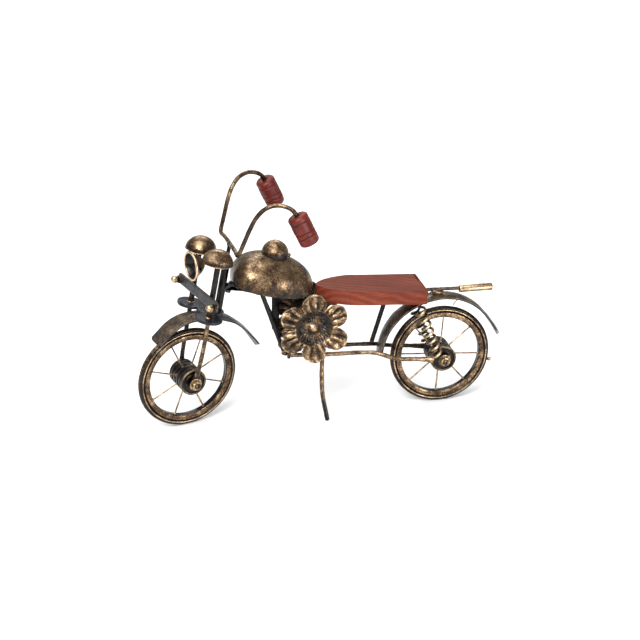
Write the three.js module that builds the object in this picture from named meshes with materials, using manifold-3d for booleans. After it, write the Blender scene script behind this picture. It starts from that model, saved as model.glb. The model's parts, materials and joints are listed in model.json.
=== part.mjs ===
// Wind-up-toy style decorative motorcycle in welded iron, with a wooden seat and turned wooden grips.
// Millimetres. +X points to the rear of the bike, -Y to its left side, +Z up, and the floor is z = 0.
// The bike leans a little onto its side stand, and the fork rests turned a little to the left.
import * as THREE from 'three';
import { mergeVertices } from 'three/addons/utils/BufferGeometryUtils.js';
import Module from 'manifold-3d';

const wasm = await Module();
wasm.setup();

// ---- driving dimensions ------------------------------------------------------------------------
const GAP = 0.3;                    // clearance left between pieces that touch

const WHEEL_R = 37.7;               // outside of the tyre
const WHEEL_OPENING_R = 29.6;       // inside of the rim
const WHEEL_HALF_WIDTH = 2.8;
const HUB_R = 9.8;
const HUB_HALF_LENGTH = 10.6;
const HUB_BORE_R = 2.1;
const AXLE_R = 1.7;
const AXLE_HALF_LENGTH = 18.2;
const NUT_R = 3.6;
const NUT_THICKNESS = 3;
const SPOKES = 8;
const SPOKE_R = 0.6;

const REAR_AXLE_X = 87.6;
const REAR_EYE_Y = 12.7;            // middle of the flattened rail ends beside the rear hub
const LEAN = THREE.MathUtils.degToRad(2);       // onto the left side

const STEER_FOOT_X = -85.9;         // where the steering axis passes the height of the axles
const RAKE = THREE.MathUtils.degToRad(11.1);    // the steering axis leans to the rear by this
const STEER = THREE.MathUtils.degToRad(18.6);   // fork turned to the left at rest
const BAR_TURN = THREE.MathUtils.degToRad(6);   // the handlebar is turned less than the fork

// In the fork's own frame z runs up the steering axis and x to the rear.
const FORK_AXLE_X = -15;
const FORK_AXLE_Z = -2.73;
const FORK_EYE_Y = 12.7;            // middle of the flattened leg ends beside the front hub
const LEG_X = -14.4;
const LEG_Y = 14.9;
const LEG_R = 1.6;
const LEG_UPPER_R = 2.1;            // above the crown
const CROWN_Z = 47;
const CROWN_THICKNESS = 2.2;
const CROWN_LOBE_R = 9.8;
const DOME_Y = 13.5;
const DOME_R = 10.9;
const DOME_HEIGHT = 9.6;
const DOME_BASE_Z = 88.8;
const SHEET = 1.2;                  // thickness of the pressed sheet pieces
const LAMP_R = 10.75;
const SIGNAL_R = 2.7;
const SIGNAL_BAR = [1.5, 60, 7.4];     // thickness, width across the bike, height
const CROSSBAR_Z = 98.8;
const BAR_R = 1.55;
const LEFT_ARM_BEND = 2.6;          // the left arm is bent this much further back
const LEFT_ARM_DROP = 1.6;          // and its arch is this much lower
const GRIP_R = 7.2;
const GRIP_LENGTH = 21.8;
const STEM_R = 1.4;
const HEAD_TUBE_BORE_R = 1.8;
const HEAD_TUBE_R = 2.8;
const HEAD_TUBE_Z = [49.7, 86];

const TANK_CENTRE = [-41.3, 105.6];             // x and z
const TANK_FRONT = 25.9;            // from the centre to the blunt front end
const TANK_REAR = 33.4;             // and to the narrow rear end
const TANK_HALF_WIDTH = 22.8;
const TANK_HEIGHT = 20;
const TANK_RIM_Z = -5;              // the open underside, below the centre
const TANK_SQUARENESS = 3;          // of the front end seen from above; 2 would be an ellipse
const TANK_TILT = THREE.MathUtils.degToRad(13.6);
const CAP_R = 9.8;
const CAP_CENTRE = [-35.2, 124.8];

const FRONT_GUARD_HALF_WIDTH = 8;
const REAR_GUARD_HALF_WIDTH = 7.3;
const GUARD_CROWN = 1.2;

const RAIL_R = 1.6;
const RAIL_Y = 8;
const RAIL_Z = 47;
const FLOWER_CENTRE = [-10, 70.3];
const FLOWER_R = 25;
const FLOWER_Y = 9.8;
const PETALS = 6;
const SEAT_TOP_Z = 99.7;            // at the nose; the plank falls slightly to the rear
const SEAT_THICKNESS = 10.2;
const SEAT_X = [-5.8, 72.8];
const SEAT_HALF_WIDTH = 18.3;
const SEAT_TILT = THREE.MathUtils.degToRad(3.3);
const SPRING_Y = 15.4;
const SPRING_COIL_R = 3.4;
const SPRING_WIRE_R = 0.9;
const SPRING_TURNS = 7;

// ---- materials ---------------------------------------------------------------------------------
function material(colour, roughness, metalness) {
  return new THREE.MeshStandardMaterial({ color: colour, roughness, metalness });
}
const brass = material('#77654b', 0.42, 0.9);       // bronze rubbed over black paint
const dark = material('#38342f', 0.5, 0.8);         // where the black shows
const steel = material('#5d6067', 0.45, 0.85);      // blue-grey sheet
const seatWood = material('#87463a', 0.6, 0);
const gripWood = material('#6b2822', 0.55, 0);

// ---- helpers -----------------------------------------------------------------------------------
const vec = (x, y, z) => new THREE.Vector3(x, y, z);

function node(name, geometry, surface, parent) {
  const mesh = new THREE.Mesh(geometry, surface);
  mesh.name = name;
  parent.add(mesh);
  return mesh;
}

function toManifold(geometry) {
  const bare = geometry.clone();
  bare.deleteAttribute('normal');
  bare.deleteAttribute('uv');
  const merged = mergeVertices(bare, 1e-4);
  return new wasm.Manifold(new wasm.Mesh({
    numProp: 3,
    vertProperties: new Float32Array(merged.attributes.position.array),
    triVerts: new Uint32Array(merged.index.array),
  }));
}

function toGeometry(manifold) {
  const mesh = manifold.getMesh();
  const geometry = new THREE.BufferGeometry();
  geometry.setAttribute('position', new THREE.BufferAttribute(new Float32Array(mesh.vertProperties), 3));
  geometry.setIndex(new THREE.BufferAttribute(new Uint32Array(mesh.triVerts), 1));
  geometry.computeVertexNormals();
  return geometry;
}

function join(...geometries) {
  return toGeometry(geometries.map(toManifold).reduce((a, b) => a.add(b)));
}

function cut(geometry, ...tools) {
  return toGeometry(tools.map(toManifold).reduce((a, b) => a.subtract(b), toManifold(geometry)));
}

// A round bar from one point to another.
function bar(from, to, radius, sides = 12) {
  const geometry = new THREE.CylinderGeometry(radius, radius, from.distanceTo(to), sides);
  const turn = new THREE.Quaternion().setFromUnitVectors(vec(0, 1, 0), to.clone().sub(from).normalize());
  geometry.applyQuaternion(turn);
  const middle = from.clone().add(to).multiplyScalar(0.5);
  return geometry.translate(middle.x, middle.y, middle.z);
}

// A round bar bent smoothly through the points, with twice halfSides faces around it.
function bentBar(points, radius, steps, halfSides = 5) {
  const section = new THREE.Shape();
  section.absarc(0, 0, radius, 0, 2 * Math.PI);
  const path = new THREE.CatmullRomCurve3(points, false, 'centripetal');
  return new THREE.ExtrudeGeometry(section, { steps, extrudePath: path, curveSegments: halfSides });
}

// A flat outline in x and z, given a thickness across the bike and centred on y.
function sidePlate(outline, thickness, y = 0) {
  const settings = { depth: thickness, bevelEnabled: false, curveSegments: 16 };
  const geometry = new THREE.ExtrudeGeometry(outline, settings);
  geometry.translate(0, 0, -thickness / 2);
  geometry.rotateX(Math.PI / 2);
  return geometry.translate(0, y, 0);
}

// A flat outline in x and y, given a thickness upward from z.
function flatPlate(outline, thickness, z = 0) {
  const settings = { depth: thickness, bevelEnabled: false, curveSegments: 16 };
  return new THREE.ExtrudeGeometry(outline, settings).translate(0, 0, z);
}

// A turned shape about the y axis, from [radius, y] pairs.
function turned(profile, segments = 32) {
  return new THREE.LatheGeometry(profile.map(([r, y]) => new THREE.Vector2(r, y)), segments);
}

// A strip of sheet bent along a curve in x and z, with an arched cross-section of the given half width.
function archedStrip(points, halfWidth, crown, thickness, steps) {
  const path = new THREE.CatmullRomCurve3(points.map(([x, z]) => vec(x, 0, z)), false, 'centripetal');
  const across = 6;
  const grid = [];
  for (let i = 0; i <= steps; i += 1) {
    const at = path.getPointAt(i / steps);
    const along = path.getTangentAt(i / steps);
    const out = vec(-along.z, 0, along.x);
    const row = [];
    for (let j = 0; j <= across; j += 1) {
      const s = 2 * j / across - 1;
      row.push(at.clone().addScaledVector(out, -crown * s * s).setY(-halfWidth * s));
    }
    const under = row.map((p) => p.clone().addScaledVector(out, -thickness)).reverse();
    grid.push([...row, ...under]);
  }
  return loft(grid);
}

// A closed skin over a row of rings with equal numbers of points, capped at both ends.
function loft(rings) {
  const count = rings[0].length;
  const positions = rings.flat().flatMap((p) => [p.x, p.y, p.z]);
  const index = [];
  for (let i = 0; i + 1 < rings.length; i += 1) {
    for (let j = 0; j < count; j += 1) {
      const a = i * count + j;
      const b = i * count + (j + 1) % count;
      index.push(a, b, b + count, a, b + count, a + count);
    }
  }
  const last = (rings.length - 1) * count;
  for (let j = 0; j < count / 2 - 1; j += 1) {
    const k = count - 1 - j;
    index.push(j, k, k - 1, j, k - 1, j + 1);
    index.push(last + j, last + k - 1, last + k, last + j, last + j + 1, last + k - 1);
  }
  const geometry = new THREE.BufferGeometry();
  geometry.setAttribute('position', new THREE.Float32BufferAttribute(positions, 3));
  geometry.setIndex(index);
  geometry.computeVertexNormals();
  return geometry;
}

// ---- wheels: the axle runs along y, and the middle of the hub is the origin ----------------------
function wheelRing() {
  const w = WHEEL_HALF_WIDTH;
  const side = [
    [WHEEL_OPENING_R, w - 0.6], [WHEEL_OPENING_R + 0.8, w], [33.4, w], [34, w - 0.7],
    [34.6, w], [36, w - 0.2], [37.2, w - 1.1], [WHEEL_R, w - 2.2],
  ];
  const mirrored = side.map(([r, y]) => [r, -y]).reverse();
  return turned([...side, ...mirrored, side[0]].reverse(), 40);
}

function hubDrum() {
  const half = HUB_HALF_LENGTH;
  const profile = [[HUB_BORE_R, -half + 1.2], [HUB_R - 1.6, -half + 1.2], [HUB_R - 1.6, -half],
    [HUB_R, -half], [HUB_R, -half + 2.4], [HUB_R - 0.7, -half + 2.9]];
  for (const y of [-5.2, -1.6, 2, 5.6]) {
    profile.push([HUB_R - 0.7, y], [HUB_R, y + 0.5], [HUB_R, y + 2], [HUB_R - 0.7, y + 2.5]);
  }
  profile.push([HUB_R - 0.7, half - 1], [HUB_R - 1, half - 1 + 0.2], [HUB_R - 1, half], [HUB_R - 2.2, half],
    [HUB_R - 2.2, half - 1.2], [HUB_BORE_R, half - 1.2], [HUB_BORE_R, -half + 1.2]);
  return turned(profile, 24);
}

function wheel(prefix, firstSpokeAngle) {
  const group = new THREE.Group();
  node(`${prefix}_wheel_ring`, wheelRing(), brass, group);
  node(`${prefix}_wheel_hub`, hubDrum(), dark, group);
  for (let i = 0; i < SPOKES; i += 1) {
    const angle = firstSpokeAngle + i * 2 * Math.PI / SPOKES;
    const out = vec(Math.cos(angle), 0, Math.sin(angle));
    const from = out.clone().multiplyScalar(HUB_R + GAP);
    const to = out.clone().multiplyScalar(WHEEL_OPENING_R - GAP);
    node(`${prefix}_spoke_${i + 1}`, bar(from, to, SPOKE_R, 8), brass, group);
  }
  return group;
}

function hexNut() {
  const geometry = new THREE.CylinderGeometry(NUT_R, NUT_R, NUT_THICKNESS, 6);
  return cut(geometry, new THREE.CylinderGeometry(AXLE_R + GAP, AXLE_R + GAP, NUT_THICKNESS + 1, 12));
}

function axleWithNuts(prefix, eyeY) {
  const group = new THREE.Group();
  node(`${prefix}_axle`, new THREE.CylinderGeometry(AXLE_R, AXLE_R, 2 * AXLE_HALF_LENGTH, 14), dark, group);
  for (const [side, sign] of [['left', -1], ['right', 1]]) {
    const nut = node(`${prefix}_nut_${side}`, hexNut(), brass, group);
    nut.position.y = sign * (eyeY + 1 + GAP + NUT_THICKNESS / 2);
  }
  return group;
}

// A flattened bar end with a hole for the axle, reaching from the hole towards `reach` in x and z.
function eye(reach, y, thickness = 2) {
  const width = 3.6;
  const length = Math.hypot(...reach);
  const outline = new THREE.Shape();
  outline.absarc(0, 0, width, Math.PI / 2, 3 * Math.PI / 2);
  outline.lineTo(length, -width * 0.55);
  outline.lineTo(length, width * 0.55);
  outline.lineTo(0, width);
  const hole = new THREE.Path();
  hole.absarc(0, 0, AXLE_R + GAP, 0, 2 * Math.PI, true);
  outline.holes.push(hole);
  const geometry = sidePlate(outline, thickness);
  geometry.rotateY(-Math.atan2(reach[1], reach[0]));
  return geometry.translate(0, y, 0);
}

// ---- fork and handlebar, in the fork's frame ----------------------------------------------------
function forkLeg(sign) {
  const eyeY = sign * FORK_EYE_Y;
  const top = DOME_BASE_Z + DOME_HEIGHT - SHEET - 1.2;
  const leg = bentBar([
    vec(FORK_AXLE_X + 0.2, eyeY, FORK_AXLE_Z + 6),
    vec(FORK_AXLE_X + 0.3, sign * (LEG_Y - 0.8), FORK_AXLE_Z + 14),
    vec(LEG_X, sign * LEG_Y, 26), vec(LEG_X, sign * LEG_Y, 50), vec(LEG_X, sign * LEG_Y, 56),
  ], LEG_R, 14);
  const crownTop = CROWN_Z + CROWN_THICKNESS;
  const upper = bar(vec(LEG_X, sign * LEG_Y, crownTop + GAP), vec(LEG_X, sign * LEG_Y, top), LEG_UPPER_R, 14);
  const end = eye([0.3, 9], 0);
  end.translate(FORK_AXLE_X, eyeY, FORK_AXLE_Z);
  return join(leg, upper, end);
}

function forkCrown() {
  const tool = (x, y, r, from, to) => bar(vec(x, y, from), vec(x, y, to), r, 28);
  const top = CROWN_Z + CROWN_THICKNESS;
  const lobes = [-1, 1].map((s) => tool(LEG_X, s * LEG_Y, CROWN_LOBE_R, CROWN_Z, top));
  const middle = tool(-6, 0, CROWN_LOBE_R, CROWN_Z, top);
  const holes = [-1, 1].map((s) => tool(LEG_X, s * LEG_Y, LEG_R + GAP, CROWN_Z - 2, top + 2));
  return cut(join(...lobes, middle), ...holes);
}

function dome() {
  const points = [];
  const steps = 6;
  const inner = [DOME_R - SHEET, DOME_HEIGHT - SHEET];
  for (let i = 0; i <= steps; i += 1) {
    const a = i / steps * Math.PI / 2;
    points.push([inner[0] * Math.sin(a), inner[1] * Math.cos(a)]);
  }
  for (let i = steps; i >= 0; i -= 1) {
    const a = i / steps * Math.PI / 2;
    points.push([DOME_R * Math.sin(a), DOME_HEIGHT * Math.cos(a)]);
  }
  return turned(points, 24).rotateX(Math.PI / 2);
}

function headlampBowl() {
  const depth = 10.5;
  const bowl = [[0, 0], [3.2, 0.5], [5.6, 2.4], [7.4, 5.2], [9.2, 7.6], [LAMP_R, depth - 1.8],
    [LAMP_R, depth], [LAMP_R - 1.5, depth], [LAMP_R - 1.7, depth - 1.4], [8, 7.6], [6.2, 5.8], [4.4, 3.4],
    [2.6, 1.9]];
  const boss = [[2.2, 1.7], [2, 3.8], [1.2, 4.6], [0, 4.8]];
  return turned([...bowl, ...boss], 24).rotateZ(Math.PI / 2);
}

function turnSignal() {
  const tip = new THREE.SphereGeometry(SIGNAL_R, 14, 10).translate(-3.6, 0, 0);
  return join(tip, bar(vec(-3.6, 0, 0), vec(0, 0, 0), SIGNAL_R, 14));
}

function grip() {
  const half = GRIP_LENGTH / 2;
  const profile = [[0, -half], [GRIP_R - 1, -half], [GRIP_R - 0.2, -half + 1]];
  for (const y of [-7.4, -2.4, 1.6, 6.4]) {
    profile.push([GRIP_R, y - 0.6], [GRIP_R - 0.7, y], [GRIP_R, y + 0.6]);
  }
  profile.push([GRIP_R, half - 1.2], [GRIP_R - 0.9, half], [BAR_R + 2 * GAP, half],
    [BAR_R + 2 * GAP, half - 9], [0, half - 9]);
  return turned(profile, 20);
}

const GRIP_ENTRY = vec(29.6, 41.6, 136);
const GRIP_END = vec(42.7, 43.4, 118.2);
const GRIP_AXIS = GRIP_END.clone().sub(GRIP_ENTRY).normalize();

// One arm of the bar: up from the end of the crossbar, over, and straight down into the grip.
function armPoints(sign) {
  const rise = [
    [-0.2, 26.4, 98.8], [0.6, 27.3, 110], [1.5, 28.6, 120], [3.6, 30.5, 130], [8, 33, 137.4], [15, 35.8, 141],
    [22.3, 38.7, 140.6], [27, 40.7, 138.6],
  ].map(([x, y, z]) => vec(x, y, z));
  const inGrip = [1, 4.5, 8].map((depth) => GRIP_ENTRY.clone().addScaledVector(GRIP_AXIS, depth));
  const points = [...rise, ...inGrip];
  const last = rise.length - 1;
  const extraBend = sign < 0 ? LEFT_ARM_BEND : 0;
  const extraDrop = sign < 0 ? LEFT_ARM_DROP : 0;
  return points.map((p, i) => {
    const amount = i < last ? Math.sin(Math.PI * i / last) : 0;
    return vec(p.x + extraBend * amount, sign * p.y, p.z - extraDrop * amount);
  });
}

function handlebar() {
  const arms = [-1, 1].map((sign) => bentBar(armPoints(sign), BAR_R, 24));
  const bends = [-1, 1].map((sign) => new THREE.SphereGeometry(BAR_R * 1.02, 10, 6)
    .translate(-0.1, sign * 26.4, CROSSBAR_Z));
  const crossbar = bar(vec(-0.1, -26.4, CROSSBAR_Z), vec(-0.1, 26.4, CROSSBAR_Z), BAR_R, 10);
  return join(...arms, ...bends, crossbar);
}

// ---- frame pieces -------------------------------------------------------------------------------
// The closed outside of the tank about its centre, grown outward by `extra`; the front end is blunter.
function tankForm(extra) {
  const geometry = new THREE.SphereGeometry(1, 32, 16).rotateX(Math.PI / 2);
  const position = geometry.attributes.position;
  const half = TANK_HALF_WIDTH + extra;
  for (let i = 0; i < position.count; i += 1) {
    const [x, y, z] = [position.getX(i), position.getY(i), position.getZ(i)];
    const reach = Math.max(Math.hypot(x, y), 1e-9);
    const power = x < 0 ? 2 / TANK_SQUARENESS : 1;
    const length = (x < 0 ? TANK_FRONT : TANK_REAR) + extra;
    const along = Math.sign(x) * Math.abs(x / reach) ** power * reach;
    const across = Math.sign(y) * Math.abs(y / reach) ** power * reach;
    position.setXYZ(i, along * length, across * half, z * (TANK_HEIGHT + extra));
  }
  return geometry;
}

function tankShell() {
  const below = new THREE.BoxGeometry(200, 200, 100).translate(0, 0, TANK_RIM_Z - 50);
  const shell = cut(tankForm(0), tankForm(-SHEET), below);
  shell.rotateY(TANK_TILT);
  return shell.translate(TANK_CENTRE[0], 0, TANK_CENTRE[1]);
}

function fillerCap() {
  const outside = new THREE.SphereGeometry(CAP_R, 24, 16).rotateX(Math.PI / 2);
  const inside = new THREE.SphereGeometry(CAP_R - SHEET, 24, 16).rotateX(Math.PI / 2);
  const below = new THREE.BoxGeometry(3 * CAP_R, 3 * CAP_R, 2 * CAP_R).translate(0, 0, -CAP_R - 2.5);
  const tank = tankForm(GAP).rotateY(TANK_TILT);
  tank.translate(TANK_CENTRE[0] - CAP_CENTRE[0], 0, TANK_CENTRE[1] - CAP_CENTRE[1]);
  return cut(outside, inside, below, tank).translate(CAP_CENTRE[0], 0, CAP_CENTRE[1]);
}

// The bar under the tank that carries it, with a web to the head tube at its front end.
function backbone() {
  const rimX = TANK_CENTRE[0] + Math.sin(TANK_TILT) * TANK_RIM_Z;
  const rimZ = TANK_CENTRE[1] + Math.cos(TANK_TILT) * TANK_RIM_Z;
  const rimHeight = (x) => rimZ - Math.tan(TANK_TILT) * (x - rimX) - 2 * GAP;
  const behindHeadTube = (z) => STEER_FOOT_X + Math.tan(RAKE) * (z - WHEEL_R) + HEAD_TUBE_R * 1.02 + GAP;
  const tail = -10;
  const foot = 96;
  const outline = new THREE.Shape();
  outline.moveTo(behindHeadTube(rimHeight(-69)), rimHeight(-69));
  outline.lineTo(tail, rimHeight(tail));
  outline.lineTo(tail, rimHeight(tail) - 3.4);
  outline.lineTo(-57, rimHeight(-57) - 4.2);
  outline.quadraticCurveTo(-66, rimHeight(-66) - 4.6, behindHeadTube(foot + 1.5) + 0.9, foot + 1.5);
  outline.lineTo(behindHeadTube(foot) + 0.7, foot);
  outline.lineTo(behindHeadTube(foot), foot);
  outline.closePath();
  return sidePlate(outline, 5);
}

function flower(sign) {
  const around = 8 * PETALS;
  const rows = [0, 0.1, 0.22, 0.36, 0.52, 0.64, 0.82, 1];
  const heights = [3.4, 2, 0.4, 2.4, 6.2, 6.4, 5.2, 2.6];
  const thickness = 1.4;
  const top = [];
  const bottom = [];
  for (let i = 1; i < rows.length; i += 1) {
    for (let j = 0; j < around; j += 1) {
      const angle = j / around * 2 * Math.PI;
      const lobe = Math.pow(Math.abs(Math.sin(PETALS / 2 * angle)), 0.4);
      const reach = FLOWER_R * (rows[i] < 0.55 ? rows[i] : 0.55 + (rows[i] - 0.55) * lobe);
      const height = heights[i] * (rows[i] > 0.6 ? 0.75 + 0.25 * lobe : 1);
      top.push(vec(reach * Math.cos(angle), height, reach * Math.sin(angle)));
      bottom.push(vec(reach * Math.cos(angle), height - thickness, reach * Math.sin(angle)));
    }
  }
  const ringCount = rows.length - 1;
  const positions = [...top, ...bottom, vec(0, heights[0], 0), vec(0, heights[0] - thickness, 0)];
  const under = ringCount * around;
  const topPole = 2 * under;
  const index = [];
  for (let j = 0; j < around; j += 1) {
    const next = (j + 1) % around;
    index.push(topPole, next, j, topPole + 1, under + j, under + next);
    for (let i = 0; i + 1 < ringCount; i += 1) {
      const a = i * around + j;
      const b = i * around + next;
      index.push(a, b, b + around, a, b + around, a + around);
      index.push(under + a, under + b + around, under + b, under + a, under + a + around, under + b + around);
    }
    const rim = (ringCount - 1) * around;
    index.push(rim + j, rim + next, under + rim + next, rim + j, under + rim + next, under + rim + j);
  }
  const geometry = new THREE.BufferGeometry();
  const values = positions.flatMap((p) => [p.x, p.y, p.z]);
  geometry.setAttribute('position', new THREE.Float32BufferAttribute(values, 3));
  geometry.setIndex(index);
  geometry.computeVertexNormals();
  if (sign < 0) {
    geometry.rotateZ(Math.PI);
  }
  return geometry;
}

function seatPlank() {
  const [front, rear] = SEAT_X;
  const w = SEAT_HALF_WIDTH;
  const outline = new THREE.Shape();
  outline.moveTo(front, -2);
  outline.quadraticCurveTo(front + 8, -w + 3, front + 28, -w);
  outline.lineTo(rear, -w);
  outline.lineTo(rear, w);
  outline.lineTo(front + 28, w);
  outline.quadraticCurveTo(front + 8, w - 3, front, 2);
  outline.closePath();
  const plank = flatPlate(outline, SEAT_THICKNESS, -SEAT_THICKNESS);
  plank.translate(-front, 0, 0);
  plank.rotateY(SEAT_TILT);
  return plank.translate(front, 0, SEAT_TOP_Z);
}

function spring(top, bottom) {
  const length = top.distanceTo(bottom);
  class Coil extends THREE.Curve {
    getPoint(t, target = new THREE.Vector3()) {
      const angle = 2 * Math.PI * SPRING_TURNS * t;
      return target.set(SPRING_COIL_R * Math.cos(angle), SPRING_COIL_R * Math.sin(angle), t * length);
    }
  }
  const section = new THREE.Shape();
  section.absarc(0, 0, SPRING_WIRE_R, 0, 2 * Math.PI);
  const settings = { steps: SPRING_TURNS * 10, extrudePath: new Coil(), curveSegments: 3 };
  const geometry = new THREE.ExtrudeGeometry(section, settings);
  const turn = new THREE.Quaternion().setFromUnitVectors(vec(0, 0, 1), top.clone().sub(bottom).normalize());
  geometry.applyQuaternion(turn);
  return geometry.translate(bottom.x, bottom.y, bottom.z);
}

function rail(sign) {
  const y = sign * RAIL_Y;
  const eyeY = sign * REAR_EYE_Y;
  const tube = bentBar([
    vec(-25.5, y, RAIL_Z + 2.4), vec(0, y, RAIL_Z + 0.9), vec(34, y, RAIL_Z - 0.6),
    vec(42, sign * 10.2, 44.8),
    vec(51, sign * 12.6, 42), vec(66, sign * 12.6, 40.4), vec(REAR_AXLE_X - 7, eyeY, 38.8),
  ], RAIL_R, 26, 5);
  const end = eye([-9, 1.5], 0);
  end.translate(REAR_AXLE_X, eyeY, WHEEL_R);
  return join(tube, end);
}

// ---- assembly -----------------------------------------------------------------------------------
const part = new THREE.Group();
const bike = new THREE.Group();
bike.rotation.x = LEAN;
bike.position.set(0, 0.98, 0.021);       // centred across, with the tyres and the stand on the floor
part.add(bike);

const steering = new THREE.Group();
steering.position.set(STEER_FOOT_X, 0, WHEEL_R);
steering.quaternion.setFromAxisAngle(vec(0, 1, 0), RAKE);
bike.add(steering);
const fork = new THREE.Group();
fork.rotation.z = STEER;
steering.add(fork);
const bars = new THREE.Group();
bars.rotation.z = BAR_TURN;
steering.add(bars);

const frontWheel = wheel('front', THREE.MathUtils.degToRad(35));
frontWheel.position.set(FORK_AXLE_X, 0, FORK_AXLE_Z);
fork.add(frontWheel);
const frontAxle = axleWithNuts('front', FORK_EYE_Y);
frontAxle.position.copy(frontWheel.position);
fork.add(frontAxle);
for (const [side, sign] of [['left', -1], ['right', 1]]) {
  node(`fork_leg_${side}`, forkLeg(sign), brass, fork);
  const cap = node(`fork_dome_${side}`, dome(), brass, fork);
  cap.position.set(LEG_X, sign * DOME_Y, DOME_BASE_Z);
}
node('fork_crown', forkCrown(), steel, fork);
const lamp = node('headlamp_bowl', headlampBowl(), brass, fork);
lamp.position.set(-17.4, 0, 83.6);
lamp.rotation.y = -RAKE;
const signals = new THREE.Group();
signals.position.set(LEG_X - LEG_UPPER_R - GAP - 1.5, 0, 62.3);
signals.rotation.z = THREE.MathUtils.degToRad(1.5);
fork.add(signals);
node('signal_bar', new THREE.BoxGeometry(...SIGNAL_BAR), steel, signals);
for (const [side, sign] of [['left', -1], ['right', 1]]) {
  const signal = node(`signal_ball_${side}`, turnSignal(), brass, signals);
  signal.position.set(-SIGNAL_BAR[0] / 2 - GAP, sign * (SIGNAL_BAR[1] / 2 - SIGNAL_R), -1);
}
node('front_mudguard', archedStrip([[-45.6, 25.2], [-36.2, 37], [-26.5, 43.3], [-14.8, 46.1],
  [-2, 46.2], [10, 43.6], [20.6, 38], [30, 30.4], [38.5, 22], [42.4, 17.6]],
  FRONT_GUARD_HALF_WIDTH, GUARD_CROWN, SHEET, 20), steel, fork);
const stemFoot = vec(0, 0, CROWN_Z + CROWN_THICKNESS + GAP);
const stemTop = vec(0, 0, CROSSBAR_Z - BAR_R - GAP);
node('steering_stem', bar(stemFoot, stemTop, STEM_R), dark, steering);
node('handlebar', handlebar(), brass, bars);
for (const [side, sign] of [['left', -1], ['right', 1]]) {
  const wood = node(`grip_${side}`, grip(), gripWood, bars);
  const entry = GRIP_ENTRY.clone().setY(sign * GRIP_ENTRY.y);
  const end = GRIP_END.clone().setY(sign * GRIP_END.y);
  const along = entry.clone().sub(end).normalize();
  wood.quaternion.setFromUnitVectors(vec(0, 1, 0), along);
  wood.position.copy(end).addScaledVector(along, GRIP_LENGTH / 2);
}

const headTube = turned([[HEAD_TUBE_BORE_R, HEAD_TUBE_Z[0]], [HEAD_TUBE_R, HEAD_TUBE_Z[0]],
  [HEAD_TUBE_R, HEAD_TUBE_Z[1]], [HEAD_TUBE_BORE_R, HEAD_TUBE_Z[1]], [HEAD_TUBE_BORE_R, HEAD_TUBE_Z[0]]], 20);
node('head_tube', headTube.rotateX(Math.PI / 2), dark, steering);

const rearWheel = wheel('rear', THREE.MathUtils.degToRad(-4));
rearWheel.position.set(REAR_AXLE_X, 0, WHEEL_R);
bike.add(rearWheel);
const rearAxle = axleWithNuts('rear', REAR_EYE_Y);
rearAxle.position.copy(rearWheel.position);
bike.add(rearAxle);

node('tank_shell', tankShell(), brass, bike);
node('tank_cap', fillerCap(), brass, bike);
node('backbone', backbone(), steel, bike);

for (const [side, sign] of [['left', -1], ['right', 1]]) {
  node(`rail_${side}`, rail(sign), brass, bike);
}

node('seat', seatPlank(), seatWood, bike);
node('seat_post', bar(vec(37.6, RAIL_Y, RAIL_Z + 1.2), vec(48.6, RAIL_Y, 84.8), 1.7), dark, bike);
node('rear_mudguard', archedStrip([[39.8, 42], [42.2, 52.5], [46.2, 62], [53.3, 71], [62.5, 78.3], [76, 84],
  [91, 85.2], [104, 82.2], [114, 76.3], [122.5, 67.4], [129.8, 57.2], [136, 46.4]],
  REAR_GUARD_HALF_WIDTH, GUARD_CROWN, SHEET, 24), steel, bike);
for (const [side, sign] of [['left', -1], ['right', 1]]) {
  const blossom = node(`flower_${side}`, flower(sign), brass, bike);
  blossom.position.set(FLOWER_CENTRE[0], sign * FLOWER_Y, FLOWER_CENTRE[1]);
  const springTop = vec(67.2, sign * SPRING_Y, 80.6);
  const springFoot = vec(80.6, sign * SPRING_Y, 44.2);
  node(`spring_${side}`, spring(springTop, springFoot), brass, bike);
  node(`down_tube_${side}`, bar(vec(-45.5, sign * 4.6, 97), vec(-30.4, sign * 7, 51.4), 1.6), dark, bike);
}
node('cradle_plate', new THREE.BoxGeometry(2, 20, 13).translate(-27.4, 0, 53.6), steel, bike);
const spacer = [-8.3, 8.3].map((y) => vec(FLOWER_CENTRE[0], y, FLOWER_CENTRE[1]));
node('flower_spacer', bar(...spacer, 2.5), dark, bike);
const stand = [vec(-3, -8.6, 45.6), vec(-3.8, -11.2, 34), vec(-4, -15, 20), vec(-1.5, -20.4, 1.16)];
node('kickstand', bentBar(stand, 1.7, 12), brass, bike);
node('tail_rod', bar(vec(74, 0, 89.4), vec(100.4, 0, 88.6), 1.3, 10), steel, bike);
node('tail_pipe', bar(vec(100.7, 0, 88.4), vec(125.8, 0, 87.8), 2.75, 16), brass, bike);

export default part;
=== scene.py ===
"""A welded iron motorcycle ornament: bronze rubbed over black paint, a plank seat and turned wooden grips.

Shapes are worked out in millimetres in the frames of the parts they belong to, and placed in metres.
In every frame x points to the rear, y to the right side and z up.
"""
import json
import math

import bmesh
import bpy
import numpy as np
from mathutils import Matrix, Vector, noise


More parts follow.
